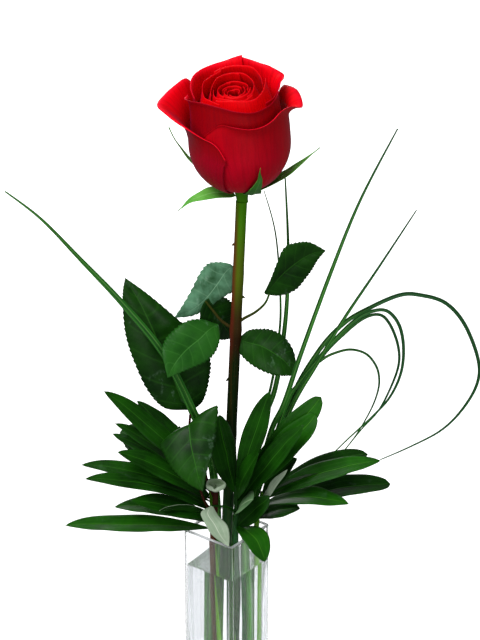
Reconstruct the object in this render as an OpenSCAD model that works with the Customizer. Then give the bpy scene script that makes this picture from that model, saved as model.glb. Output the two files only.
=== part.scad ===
// Dressed square glass bud vase: the vase, one long-stemmed rose, three foliage
// sprigs, a pruned rose twig and a bunch of bear grass.
// Millimetres. Origin at the middle of the vase's foot, +Z up, -Y is the front.

/* [Vase] */
// Outside width across two flat sides
vase_side = 38; // [38:0.5:40]
// Height of the vase
vase_height = 200; // [190:1:203]
// Thickness of the glass wall
wall = 2.5; // [1.5:0.25:3]
// Thickness of the solid glass foot
foot_thickness = 12; // [6:1:12]
// Radius of the outside corners
corner_radius = 3; // [2:0.5:5]
// Turn of the vase about its upright axis, in degrees
vase_turn = 52; // [45:1:60]

/* [Rose] */
// Diameter of the rose stem
rose_stem_d = 6.4; // [4:0.2:6.6]
// Radius of the bloom at its widest
bloom_radius = 28.5; // [27:0.5:30]
// Height of the rim of the second ring of petals above the base of the bloom
bloom_height = 69; // [66:1:72]
// Thickness of a petal
petal_thickness = 0.6; // [0.4:0.1:0.8]

/* [Foliage] */
// Thickness of a sprig leaf at its midrib
leaf_thickness = 0.7; // [0.5:0.1:1]
// Thickness of a rose leaflet at its midrib
leaflet_thickness = 0.7; // [0.5:0.1:1]
// Width of a bear grass blade
grass_width = 2.2; // [1.6:0.2:2.6]
// Thickness of a bear grass blade
grass_thickness = 0.9; // [0.6:0.1:1.2]

/* [Hidden] */
gap = 0.5;                        // clearance under the stems
foot_top = foot_thickness + gap;  // where the cut stems stand

// ---------- vectors ----------
function unit(v) = v / norm(v);
function mix(a, b, t) = a + (b - a) * t;
// across and up directions of a leaf whose midrib runs along c, rolled by r degrees
function side_of(c) = unit(cross(c, abs(c[2]) > 0.98 ? [0, 1, 0] : [0, 0, 1]));
function up_of(c, r) = unit(cross(side_of(c), c)) * cos(r) + side_of(c) * sin(r);

// ---------- skin over rings of points ----------
function ring_faces(n, k) = concat(
    [for (i = [0:n - 2], j = [0:k - 1]) [i * k + j, (i + 1) * k + (j + 1) % k, i * k + (j + 1) % k]],
    [for (i = [0:n - 2], j = [0:k - 1]) [i * k + j, (i + 1) * k + j, (i + 1) * k + (j + 1) % k]],
    [for (j = [1:k - 2]) [0, j, j + 1]],
    [for (j = [1:k - 2]) [(n - 1) * k, (n - 1) * k + j + 1, (n - 1) * k + j]]);
// a curved sheet: each ring runs along its outer face and back along its inner one
function sheet_faces(n, k) = concat(
    [for (i = [0:n - 2], j = [0:k - 1]) each [[i * k + j, (i + 1) * k + (j + 1) % k, i * k + (j + 1) % k],
                                              [i * k + j, (i + 1) * k + j, (i + 1) * k + (j + 1) % k]]],
    [for (j = [0:k / 2 - 2]) each [[j, j + 1, k - 2 - j], [j, k - 2 - j, k - 1 - j]]],
    [for (j = [0:k / 2 - 2]) let (b = (n - 1) * k) each [[b + j, b + k - 2 - j, b + j + 1], [b + j, b + k - 1 - j, b + k - 2 - j]]]);
module sheet(rings) {
    polyhedron([for (r = rings) each r], sheet_faces(len(rings), len(rings[0])), convexity = 6);
}
module skin(rings) {
    polyhedron([for (r = rings) each r], ring_faces(len(rings), len(rings[0])), convexity = 6);
}

// ---------- smooth curve through route points ----------
function cr(p0, p1, p2, p3, t) = 0.5 * (2 * p1 + (p2 - p0) * t + (2 * p0 - 5 * p1 + 4 * p2 - p3) * t * t + (3 * p1 - p0 - 3 * p2 + p3) * t * t * t);
function route(p, m) = concat(
    [for (i = [0:len(p) - 2], s = [0:m - 1])
        cr(p[max(i - 1, 0)], p[i], p[i + 1], p[min(i + 2, len(p) - 1)], s / m)],
    [p[len(p) - 1]]);
function tangent(q, i) = unit(q[min(i + 1, len(q) - 1)] - q[max(i - 1, 0)]);

// ---------- stems: round, through route points, tapering ----------
module stem(p, d0, d1, m = 3, k = 8) {
    q = route(p, m);
    n = len(q);
    skin([for (i = [0:n - 1]) let (t = tangent(q, i), a = unit(cross(t, [0, 1, 0])), b = cross(t, a), r = mix(d0, d1, i / (n - 1)) / 2)
        [for (j = [0:k - 1]) q[i] + r * (cos(360 * j / k) * a + sin(360 * j / k) * b)]]);
}

// ---------- grass: a flat blade that tapers to a point ----------
module blade(p, w = grass_width, twist = 0, m = 3) {
    q = route(p, m);
    n = len(q);
    skin([for (i = [0:n - 1]) let (t = tangent(q, i), a0 = unit(cross(t, [0, 1, 0])), b0 = cross(t, a0), g = twist,
        a = a0 * cos(g) + b0 * sin(g), b = b0 * cos(g) - a0 * sin(g),
        s = 1 - 0.75 * pow(i / (n - 1), 3), h = w * s / 2, e = grass_thickness * s / 2)
        [q[i] + a * h, q[i] + b * e, q[i] - a * h, q[i] - b * e]]);
}

// ---------- leaves ----------
// share of the full width at t along the leaf: widest at p / (p + q)
function outline(t, p, q) = pow(max(t, 0), p) * pow(max(1 - t, 0), q) / (pow(p / (p + q), p) * pow(q / (p + q), q));
// from = foot of the leaf, to = its tip, w = full width, arch = rise of the middle above the
// straight line, roll = turn about the midrib, fold = how far the halves stand up (0 flat)
function leaf_rings(from, to, w, arch, roll, fold, p, q, th, n) =
    let (c = unit(to - from), len = norm(to - from), up = up_of(c, roll), ac = cross(c, up))
    [for (i = [0:n]) let (t = i / n, h = max(w / 2 * outline(t, p, q), i == n ? 0.25 : 0.6),
        m = from + c * len * t + up * arch * 4 * t * (1 - t), f = fold * h, e = th / 2 * (1 - 0.4 * t))
        [m + ac * h + up * f, m + ac * h / 2 + up * (f * 0.4 - e * 0.8), m - up * e, m - ac * h / 2 + up * (f * 0.4 - e * 0.8),
         m - ac * h + up * f, m - ac * h / 2 + up * (f * 0.4 + e * 0.8), m + up * e, m + ac * h / 2 + up * (f * 0.4 + e * 0.8)]];
module sprig_leaf(from, to, w, arch, roll = 0, fold = 0.25)
    skin(leaf_rings(from, to, w, arch, roll, fold, 1.0, 0.75, leaf_thickness, 7));
module rose_leaflet(from, to, w, arch, roll = 0, fold = 0.15)
    skin(leaf_rings(from, to, w, arch, roll, fold, 0.5, 0.7, leaflet_thickness, 8));

// ---------- the bloom ----------
bloom_at = [9, 0, 420];       // base of the bloom, on top of the receptacle
bloom_tilt = [6, -3, 0];      // leans to the front and to the left
bowl_h = 29;                  // height of the bloom's widest level
drift = -1.5;                 // how far the tops of the inner rings lean along x
// a petal is part of a round bowl about the bloom's axis, open at the top.
// g = [radius, narrowing toward the top, where the roll of the rim starts (0 to 1),
//      slip (one side edge outside its neighbour, the other inside), drift of the top along x,
//      rim as rows of bearing, drop below the bloom's height and outward roll]
function at(t, u) = let (n = len(t) - 1, x = (min(max(u, -1), 1) + 1) / 2 * n, i = min(floor(x), n - 1))
    cr(t[max(i - 1, 0)], t[i], t[i + 1], t[min(i + 2, n)], x - i);
function petal_at(g, u, v) =
    let (r = g[0], th0 = asin(3.2 / r), vb = 0.42, lo = v < vb,
        th = th0 + (90 - th0) * min(v / vb, 1), k = lo ? 0 : (v - vb) / (1 - vb),
        s = max(0, (k - g[2]) / (1 - g[2])), rim = at(g[5], u), roll = rim[2],
        rise = (bloom_height - rim[1] - bowl_h) * k, q = rise / (bloom_height - bowl_h),
        rad = r * sin(th) - r * g[1] * q * q + roll * s * s + g[3] * u * min(1, 0.75 + v * 3),
        z = bowl_h - r * cos(th) + rise + 0.4 * max(roll, 0) * s * (1 - s),
        mid = (g[5][0][0] + g[5][len(g[5]) - 1][0]) / 2,
        b = mid + (rim[0] - mid) * (0.75 + 0.25 * min(1, v * 2)))
    [rad * cos(b) + g[4] * q * abs(q), rad * sin(b), z];
function petal_normal(g, u, v) = unit(cross(
    petal_at(g, u + 0.01, v) - petal_at(g, u - 0.01, v),
    petal_at(g, u, min(v + 0.01, 1)) - petal_at(g, u, max(v - 0.01, 0))));
function petal_rings(g, nu, nv) =
    [for (i = [0:nv]) let (v = i / nv)
        concat([for (j = [0:nu]) let (u = -1 + 2 * j / nu) petal_at(g, u, v) + petal_normal(g, u, v) * petal_thickness / 2],
               [for (j = [nu:-1:0]) let (u = -1 + 2 * j / nu) petal_at(g, u, v) - petal_normal(g, u, v) * petal_thickness / 2])];
module petal(g, nu = 10, nv = 8) sheet(petal_rings(g, nu, nv));
module on_bloom() translate(bloom_at) rotate(bloom_tilt) children();
R = bloom_radius;
H = bloom_height;

module petal_guard_front() color("firebrick") on_bloom() petal([R, 0.12, 0.7, 1, 0, [
    [218, 29, 0], [238, 20, 0], [254, 15, 0.8], [269, 16, 1.5], [284, 17.5, 2], [298, 17.5, 2], [312, 16, 1.5],
    [326, 13.5, 1.5], [340, 13.5, 3.6], [354, 18, 7], [366, 17.5, 7.5], [380, 14.5, 6.7], [396, 14.5, 4]]], 14, 8);
module petal_flared_left() color("firebrick") on_bloom() petal([R, 0.06, 0.1, 1, 0, [
    [134, 14, 6], [148, 6.5, 5], [161, 8, 8], [174, 10, 12], [187, 11.5, 15.7], [201, 12.5, 13.3], [213, 16, 9.5],
    [222, 21, 4.5], [231, 24.5, 1], [241, 26, 0], [249, 29, 0], [256, 36, 0]]], 12, 8);
module petal_guard_back() color("firebrick") on_bloom() petal([R, 0.06, 0.5, 1, 0, [
    [40, 19, 1], [50, 15, 1.5], [60, 12, 2], [72, 9.5, 3], [84, 8, 3], [97, 8, 3], [109, 8.5, 2.5], [119, 10, 2], [128, 13, 1]]], 8, 7);
module petal_second_front() color("firebrick") on_bloom() petal([R - 3, 0.12, 0.6, -1, drift, [
    [178, 9, 0], [192, 8, 2.2], [206, 6.5, 1.5], [222, 5, 1], [239, 4.7, 0.5], [258, 6.1, 0.3], [275, 8.1, 0.3],
    [294, 9.8, 0.3], [312, 9.3, 0], [329, 8, 0], [346, 6, 0]]], 11, 8);
module petal_second_right() color("firebrick") on_bloom() petal([R - 3, 0.12, 0.6, -1, drift, [
    [318, 7, -1], [332, 7.5, -1], [346, 7.7, -1], [360, 7, 0.5], [372, 6.3, 2.5], [382, 6.7, 5.5], [392, 6.5, 7.5],
    [402, 2.5, 4.5], [414, 1.2, 2.5], [428, 0.5, 2], [442, 0, 1.5]]], 11, 8);
module petal_second_left() color("firebrick") on_bloom() petal([R - 3, 0.12, 0.6, -1, drift, [
    [76, 0, 2], [88, 1, 2], [101, 1.8, 2], [113, 2, 1.5], [126, 2, 1], [140, 1.5, 0.5], [155, 1.5, 0], [168, 2.3, 0],
    [181, 4, 0], [194, 4.5, 0.5], [206, 6, 1]]], 10, 8);
// a petal of an inner ring: radius, narrowing, slip, middle bearing and the drops of its rim
module ring_petal(r, close, slip, mid, drops, nu, nv, half = 66)
    petal([r, close, 0.8, slip, drift, [for (i = [0:len(drops) - 1]) [mid - half + 2 * half * i / (len(drops) - 1), drops[i], 0]]], nu, nv);
module petals_third_ring() color("crimson") on_bloom() {
    ring_petal(R - 6.2, 0.31, 1, 300, [6.5, 5.7, 5.5, 6.2, 6.5, 4.8, 3, 2.5], 8, 7);
    ring_petal(R - 6.2, 0.31, 1, 60, [3, 1, -0.5, -1, -0.5, 0, 1, 2.5], 8, 7);
    ring_petal(R - 6.2, 0.31, 1, 180, [1.5, 3, 3.5, 3.2, 4.2, 6.4, 6.4, 7], 8, 7);
}
module petals_fourth_ring() color("crimson") on_bloom() {
    ring_petal(R - 9.4, 0.55, 0.9, 15, [7, 6.2, 4.5, 3.2, 2, 1.5, 2], 7, 6);
    ring_petal(R - 9.4, 0.55, 0.9, 135, [1.5, 1, 1.5, 2, 3, 4.7, 7.2], 7, 6);
    ring_petal(R - 9.4, 0.55, 0.9, 255, [6, 7.5, 7.2, 7.1, 7.5, 7.7, 6.5], 7, 6);
}
module petals_fifth_ring() color("crimson") on_bloom() {
    ring_petal(R - 12.6, 0.71, 0.9, 50, [5.5, 4.5, 3.8, 3.6, 3.8], 7, 6);
    ring_petal(R - 12.6, 0.71, 0.9, 170, [3.8, 4.2, 5, 6, 7], 7, 6);
    ring_petal(R - 12.6, 0.71, 0.9, 290, [7.2, 7.6, 7.4, 6.7, 5.7], 7, 6);
}
module petals_sixth_ring() color("crimson") on_bloom() {
    ring_petal(R - 15.8, 0.92, 0.9, 95, [6.2, 5.8, 5.6, 5.8, 6.4], 6, 6);
    ring_petal(R - 15.8, 0.92, 0.9, 215, [6.2, 7, 7.8, 8.5, 8.8], 6, 6);
    ring_petal(R - 15.8, 0.92, 0.9, 335, [8.7, 8.4, 7.7, 6.8, 6.1], 6, 6);
}
module petals_heart() color("crimson") on_bloom() {
    ring_petal(R - 19.2, 1.13, 0.8, 30, [7.6, 7.4, 7.4, 7.6, 8], 6, 6, 64);
    ring_petal(R - 19.2, 1.13, 0.8, 150, [7.8, 7.6, 7.6, 7.8, 8.2], 6, 6, 64);
    ring_petal(R - 19.2, 1.13, 0.8, 270, [9, 8.8, 8.8, 9, 9.4], 6, 6, 64);
}

module rose_stamens() color("goldenrod") on_bloom() for (a = [0:60:300]) rotate([0, 0, a]) translate([1.5, 0, 25]) { cylinder(d = 0.6, h = 6, $fn = 16); translate([0, 0, 6]) cylinder(d = 1.1, h = 1.4, $fn = 16); }

// receptacle: the green hip under the bloom and the cone inside it that carries the petals
module rose_receptacle() color("darkolivegreen") on_bloom() rotate_extrude($fn = 48)
    polygon([[0, -9], [3.2, -9], [3.6, -7.5], [5, -5], [6, -2.5], [6, -1], [4.6, 0.3], [3.8, 2], [3.7, 12], [3.6, 22], [2.6, 26], [0, 26]]);

// five sepals: [from, to, width, arch, roll]
sepals = [
    [[5, -2, 417], [-27, -12, 411], 9, 6, -20],
    [[12, -4, 417], [20, -35, 445], 9, -9, 0],
    [[13, -1, 418], [53, -6, 447], 8, -3, 20],
    [[6, 3, 418], [-32, 10, 453], 6, -6, 0],
    [[11, 4, 418], [26, 34, 426], 8, 3, 0]
];
module rose_sepals() color("olivedrab") for (s = sepals) skin(leaf_rings(s[0], s[1], s[2], s[3], s[4], 0.2, 0.45, 1.3, 0.7, 7));

// ---------- rose stem and its leaves ----------
rose_foot = [-7.5, 0, foot_top];
rose_top = [9, 0, 412];
lean = (rose_top[0] - rose_foot[0]) / (rose_top[2] - rose_foot[2]);  // the stem leans to the right by this much
function on_rose(z) = [rose_foot[0] + lean * (z - rose_foot[2]), 0, z];
module rose_stem() color("olivedrab") translate(rose_foot)
    multmatrix([[1, 0, lean, 0], [0, 1, 0, 0], [0, 0, 1, 0], [0, 0, 0, 1]])
        cylinder(d = rose_stem_d, h = rose_top[2] - rose_foot[2], $fn = 32);
module rose_leafstalk_left() color("olivedrab") stem([on_rose(331), [-2.5, 2, 336], [-7, 4, 341], [-12, 6, 347]], 2, 1.2, 3, 6);
module rose_leafstalk_right() color("olivedrab") stem([on_rose(334), [10, -1.5, 339], [17, -3, 344], [22.5, -4, 350], [25, -4, 356]], 2, 1.2, 3, 6);
module rose_leaflet_left_top() color("forestgreen") rose_leaflet(on_rose(365), [-30, 15, 335], 26, 3, -60);
module rose_leaflet_left_front() color("forestgreen") rose_leaflet([-2.5, 1.6, 336], [-33, -25, 311], 29, 5, -10);
module rose_leaflet_left_back() color("darkgreen") rose_leaflet([-12, 6.5, 347], [3, 17, 318], 23, 2, 90);
module rose_leaf_left_large() color("darkgreen") rose_leaflet([-19, 3, 276], [-58, 2, 363], 42, 5, 80);
module rose_leafstalk_low_left() color("olivedrab") stem([on_rose(262), [-4, 2, 265], [-12, 4, 270], [-19.5, 3, 277]], 2, 1.4, 3, 6);
module rose_leaflet_right_top() color("forestgreen") rose_leaflet([24, -4, 354], [59, -6, 384], 25, 4, 60);
module rose_leaf_right_low() color("darkgreen") rose_leaflet(on_rose(324), [43, -2, 307], 27, 4, 40);

// ---------- foliage sprigs ----------
left_stem = [[9, -7.5, foot_top], [0, -7.5, 110], [-8, -6.5, 196], [-8.5, -4, 215], [-10, -5, 235]];
right_stem = [[14, 5, foot_top], [16.5, 3.5, 110], [18, 1, 196], [19.5, 0.5, 210], [21.5, 0, 224]];
upright_stem = [[7, 1, foot_top], [6.5, -3, 110], [5.5, -6.5, 196], [6, -7, 210], [6, -7, 232]];
// the point of a stem at height z
function on(p, z) = [lookup(z, [for (q = p) [q[2], q[0]]]), lookup(z, [for (q = p) [q[2], q[1]]]), z];
// each leaf: [height on the stem, tip, width, arch, roll]
left_leaves = [
    [202, [-96, -14, 209], 15, 2, -15],
    [205, [-67, -2, 215], 15, 6, -15],
    [219, [-86, -6, 245], 13, 8, -20],
    [215, [-83, -20, 244], 13, 7, -20],
    [223, [-68, 12, 257], 12, 5, -20],
    [226, [-66, 6, 267], 12, 5, -20],
    [221, [-64, -12, 257], 15, 5, -30],
    [229, [-72, 0, 291], 15, 5, -30],
    [232, [-53, 10, 280], 13, 4, -30],
    [208, [-56, -22, 230], 14, 3, -30],
    [211, [-39, -28, 227], 8, 2, 60],
    [213, [-48, -9, 238], 14, 4, -25]
];
right_leaves = [
    [218, [92, 4, 243], 16, 6, 20],
    [221, [85, 16, 241], 14, 6, 15],
    [210, [99, 14, 222], 18, 5, 15],
    [214, [73, -8, 220], 17, 6, 10],
    [205, [44, -8, 217], 14, 3, 20],
    [222, [42, -6, 250], 12, 2, 50],
    [214, [36, -16, 248], 7, 3, 95]
];
upright_leaves = [
    [222, [53, -8, 280], 16, 3, 65],
    [229, [56, -3, 289], 15, 3, 70],
    [231, [26, -12, 297], 14, 2, 80],
    [218, [45, -18, 279], 14, 3, 60],
    [226, [-4, -16, 284], 19, 2, 90],
    [222, [19, -22, 262], 15, 2, 70],
    [204, [23.5, -31, 194], 17, 6, 0],
    [212, [16, -22, 231], 17, 2, 40],
    [203, [26, -13, 228], 13, 2, 65]
];
module sprig_leaves(p, leaves) for (l = leaves) sprig_leaf(on(p, l[0]), l[1], l[2], l[3], l[4]);
module left_sprig_stem() color("darkgreen") stem(left_stem, 4, 2.4);
module left_sprig_leaves() color("green") sprig_leaves(left_stem, left_leaves);
module right_sprig_stem() color("darkgreen") stem(right_stem, 4, 2.4);
module right_sprig_leaves() color("green") sprig_leaves(right_stem, right_leaves);
module upright_sprig_stem() color("darkgreen") stem(upright_stem, 4.4, 2.6);
module upright_sprig_leaves() color("green") {
    sprig_leaves(upright_stem, upright_leaves);
    // folded leaf on a short stalk, hanging forward over the vase rim
    stem([on(upright_stem, 214), [0, -13, 221], [-9, -18, 223.5]], 1.6, 1.2, 3, 6);
    sprig_leaf([-9, -18.5, 223.5], [1.5, -31, 204], 13, 0.5, 0);
}

// ---------- pruned rose twig ----------
twig = [[-2, -12, foot_top], [-5, -11.5, 110], [-8, -11, 196], [-7, -13, 212], [-6.2, -14, 232]];
module twig_stem() color("saddlebrown") stem(twig, 3.4, 3.4);
module twig_pruned_head() color("darkseagreen") translate([-6.2, -14, 230.5]) rotate_extrude($fn = 40)
    polygon([[0, 0], [2.1, 0], [3.2, 1.2], [5.6, 3], [6.2, 5], [5.8, 7], [4.6, 7.2], [3.4, 5.4], [0, 5.0]]);
module twig_leafstalks() color("saddlebrown") {
    stem([on(twig, 214), [-13, -11, 224], [-19, -9, 245], [-21.5, -11, 268], [-21, -12, 282]], 1.6, 1.4, 3, 6);
    stem([on(twig, 226), [-11.5, -7, 236], [-14, 1, 249], [-17, 10, 246], [-20, 16, 239]], 1.6, 1.4, 3, 6);
}
module twig_leaf_front() color("darkgreen") rose_leaflet([-21, -12, 280], [-14, -33, 241], 36, 4, 0);
module twig_leaf_left() color("darkgreen") rose_leaflet([-20, 16, 239], [-64, 20, 254], 30, 3, -60);

// ---------- bear grass: route points of each blade ----------
// each blade keeps to its own lane, front to back, so none runs through another
grass_left = [[-6, 5, foot_top], [-6, 6, 110], [-5, 6, 196], [-7, 4, 232], [-11, -3, 257], [-18, -5, 279], [-35, -10, 320], [-58, -12, 353], [-83, -8, 380], [-105, -4, 403], [-125, 0, 418]];
grass_left_2 = [[-9, 4, foot_top], [-9, 4, 110], [-8, 4, 196], [-9, 2, 232], [-13, -5, 258], [-21, -7, 279], [-37, -13, 318], [-60, -14, 350], [-84, -9, 377], [-100, -6, 395]];
grass_tall_p = [[13, -5, foot_top], [12, -5, 110], [11, -3.5, 196], [16, -1, 217], [26, 2, 262], [34, -3, 285], [43, -11, 320], [60, -11, 373], [76, -8, 416], [96, -6, 458]];
grass_slanted_p = [[14, -3, foot_top], [13, -2.5, 110], [12, -1.5, 196], [17, 1.5, 217], [37, 4, 275], [54, 2, 310], [69, -1, 340], [88, -3, 373], [108, -6, 409]];
loop_outer_p = [[11, -3, foot_top], [11, -0.5, 110], [12, 0.2, 196], [17, 3, 217], [35, 6, 278], [43, 6, 294], [61, 6, 319], [75, 7, 334], [85, 7, 340], [94, 7, 340], [101, 7, 331], [104, 8, 316], [103, 9, 299], [97, 11, 282], [87, 13, 268], [73, 15, 252], [59, 17, 235]];
loop_large_p = [[11, 4, foot_top], [11, 3, 110], [12.5, 2, 196], [17, 5, 217], [37, 8.5, 279], [54, 9, 313], [69, 10, 331], [84, 10, 341], [101, 10, 349], [113, 10, 349], [128, 12, 343], [140, 14, 328], [149, 16, 304], [149, 18, 287], [141, 20, 269], [129, 22, 254], [111, 22, 243], [93, 22, 234]];
loop_inner_p = [[9, 6, foot_top], [10, 5, 110], [12, 4, 196], [18, 7, 217], [39, 12, 277], [56, 13, 307], [70, 14, 323], [81, 15, 332], [90, 15, 334], [96, 15, 328], [101, 15, 315], [102, 15, 302], [98, 17, 286], [91, 19, 269], [81, 21, 255], [69, 22, 237]];
loop_small_p = [[7, 8, foot_top], [9, 7, 110], [11, 6, 196], [18, 10, 217], [38, 16, 273], [47, 18, 293], [57, 19, 303], [65, 20, 307], [74, 20, 309], [83, 20, 306], [89, 20, 298], [91, 20, 289], [90, 21, 279], [86, 23, 266], [78, 25, 249], [68, 27, 233]];
grass_upright_p = [[2, 12, foot_top], [3, 11.5, 110], [5, 11, 196], [12, 13.5, 232], [21, 18, 261], [29, 20, 283], [34, 21, 318], [36, 21, 348], [36, 21, 379], [34, 22, 419]];
grass_fine_p = [[-3, 13, foot_top], [-1, 13, 110], [2, 13, 196], [11, 17, 232], [25, 24, 275], [31, 27, 312], [32, 29, 338], [29, 31, 378], [22, 34, 405]];
module grass_left_pair() color("seagreen") { blade(grass_left, grass_width * 1.1); blade(grass_left_2, grass_width * 0.5); }
module grass_tall() color("seagreen") blade(grass_tall_p);
module grass_slanted() color("seagreen") blade(grass_slanted_p, grass_width * 0.8);
module grass_upright() color("seagreen") blade(grass_upright_p);
module grass_fine() color("seagreen") blade(grass_fine_p, grass_width * 0.5);
module grass_loop_large() color("seagreen") blade(loop_large_p, grass_width * 0.8, m = 2);
module grass_loop_outer() color("seagreen") blade(loop_outer_p, grass_width * 0.7, m = 2);
module grass_loop_inner() color("seagreen") blade(loop_inner_p, grass_width * 0.6, m = 2);
module grass_loop_small() color("seagreen") blade(loop_small_p, grass_width * 0.5, m = 2);

// ---------- vase ----------
module rounded_square(s, r) {
    square([s - 2 * r, s], center = true);
    square([s, s - 2 * r], center = true);
    for (x = [-1, 1], y = [-1, 1]) translate([x * (s / 2 - r), y * (s / 2 - r)]) circle(r, $fn = 48);
}
module vase() color("lightblue", 0.4) rotate([0, 0, vase_turn]) difference() {
    linear_extrude(vase_height) rounded_square(vase_side, corner_radius);
    translate([0, 0, foot_thickness]) linear_extrude(vase_height)
        rounded_square(vase_side - 2 * wall, max(corner_radius - wall, 0.8));
}

vase();
rose_stem();
rose_receptacle();
rose_sepals();
petal_guard_front();
petal_flared_left();
petal_guard_back();
petal_second_front();
petal_second_right();
petal_second_left();
petals_third_ring();
petals_fourth_ring();
petals_fifth_ring();
petals_sixth_ring();
petals_heart();
rose_stamens();
rose_leafstalk_left();
rose_leaflet_left_top();
rose_leaflet_left_front();
rose_leaflet_left_back();
rose_leaf_left_large();
rose_leafstalk_low_left();
rose_leafstalk_right();
rose_leaflet_right_top();
rose_leaf_right_low();
left_sprig_stem();
left_sprig_leaves();
right_sprig_stem();
right_sprig_leaves();
upright_sprig_stem();
upright_sprig_leaves();
twig_stem();
twig_pruned_head();
twig_leaf_front();
twig_leaf_left();
twig_leafstalks();
grass_left_pair();
grass_tall();
grass_slanted();
grass_upright();
grass_fine();
grass_loop_large();
grass_loop_outer();
grass_loop_inner();
grass_loop_small();
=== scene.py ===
import math
import bpy
import numpy as np
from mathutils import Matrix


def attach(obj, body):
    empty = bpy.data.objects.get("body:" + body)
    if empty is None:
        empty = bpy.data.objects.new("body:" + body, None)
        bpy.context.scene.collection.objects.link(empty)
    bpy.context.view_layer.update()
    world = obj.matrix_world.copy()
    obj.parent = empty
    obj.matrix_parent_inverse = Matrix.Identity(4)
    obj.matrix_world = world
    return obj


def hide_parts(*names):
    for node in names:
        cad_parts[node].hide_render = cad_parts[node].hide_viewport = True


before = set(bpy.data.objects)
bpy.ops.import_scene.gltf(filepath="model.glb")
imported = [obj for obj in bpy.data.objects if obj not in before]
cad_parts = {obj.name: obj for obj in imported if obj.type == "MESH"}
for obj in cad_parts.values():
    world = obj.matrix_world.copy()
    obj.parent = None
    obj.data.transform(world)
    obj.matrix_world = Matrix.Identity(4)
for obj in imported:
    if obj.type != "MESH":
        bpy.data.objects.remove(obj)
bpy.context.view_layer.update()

# ------------------------------------------------------------------ numbers
VASE_SIDE, VASE_H, WALL, FOOT, CORNER, TURN = 38.0, 200.0, 2.5, 12.0, 3.0, 52.0
FT = FOOT + 0.5
R, H, BOWL = 28.5, 69.0, 29.0
BLOOM_AT, BLOOM_TILT = np.array([9.0, 0.0, 420.0]), (6.0, -3.0)
ROSE_FOOT, ROSE_TOP = np.array([-7.5, 0.0, FT]), np.array([9.0, 0.0, 412.0])
WATER_Z = 175.0
rng = np.random.RandomState(7)


def V(*a):
    return np.array(a, float)


def unit(v):
    return v / np.linalg.norm(v)


def on_rose(z):
    return ROSE_FOOT + (ROSE_TOP - ROSE_FOOT) * (z - ROSE_FOOT[2]) / (ROSE_TOP[2] - ROSE_FOOT[2])


def on(p, z):
    p = np.asarray(p, float)
    return V(np.interp(z, p[:, 2], p[:, 0]), np.interp(z, p[:, 2], p[:, 1]), z)


def cr(p0, p1, p2, p3, t):
    return 0.5 * (2 * p1 + (p2 - p0) * t + (2 * p0 - 5 * p1 + 4 * p2 - p3) * t * t + (3 * p1 - p0 - 3 * p2 + p3) * t ** 3)


def route(p, m):
    p = np.asarray(p, float)
    out = []
    n = len(p)
    for i in range(n - 1):
        for s in range(m):
            out.append(cr(p[max(i - 1, 0)], p[i], p[i + 1], p[min(i + 2, n - 1)], s / m))
    out.append(p[-1])
    return np.array(out)


def smooth(x, a, b):
    t = np.clip((x - a) / (b - a), 0, 1)
    return t * t * (3 - 2 * t)


def wobble(n, rs, k=4):
    """A smooth random curve of n values between about -1 and 1."""
    c = rs.uniform(-1, 1, k)
    f = rs.uniform(0.5, 1.4, k) * np.arange(1, k + 1)
    x = np.linspace(0, 1, n)
    return sum(c[i] / (i + 1) * np.sin(2 * math.pi * (f[i] * x) + c[i] * 9) for i in range(k))


# ------------------------------------------------------------------ meshes
class Mesh:
    """Collects vertices in millimetres, faces, UVs and material numbers."""

    def __init__(self):
        self.v, self.f, self.uv, self.m = [], [], [], []
        self.n = 0

    def add(self, verts, faces, uvs, mat=0):
        verts = np.asarray(verts, float).reshape(-1, 3)
        uvs = np.asarray(uvs, float).reshape(-1, 2)
        self.v.append(verts)
        self.uv.append(uvs)
        if isinstance(mat, int):
            mat = [mat] * len(faces)
        self.f += [tuple(i + self.n for i in f) for f in faces]
        self.m += list(mat)
        self.n += len(verts)

    def build(self, name, mats, body, nodes=(), sharp=None):
        v = np.concatenate(self.v) * 0.001
        uv = np.concatenate(self.uv)
        me = bpy.data.meshes.new(name)
        me.from_pydata(v.tolist(), [], self.f)
        me.validate(clean_customdata=False)
        layer = me.uv_layers.new(name="UVMap")
        idx = np.empty(len(me.loops), dtype=np.int32)
        me.loops.foreach_get("vertex_index", idx)
        layer.data.foreach_set("uv", uv[idx].astype(np.float32).ravel())
        if len(me.polygons) == len(self.m):
            me.polygons.foreach_set("material_index", np.array(self.m, dtype=np.int32))
        me.polygons.foreach_set("use_smooth", np.ones(len(me.polygons), dtype=bool))
        ob = bpy.data.objects.new(name, me)
        bpy.context.scene.collection.objects.link(ob)
        for m in mats:
            me.materials.append(m)
        if sharp:
            me.set_sharp_from_angle(angle=math.radians(sharp))
        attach(ob, body)
        if nodes:
            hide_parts(*nodes)
        return ob


def grid_faces(nu, nv, off=0, flip=False):
    """Faces of a grid of nu by nv points stored row by row (v major)."""
    f = []
    for j in range(nv - 1):
        for i in range(nu - 1):
            a = off + j * nu + i
            q = (a, a + 1, a + nu + 1, a + nu)
            f.append(q[::-1] if flip else q)
    return f


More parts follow.
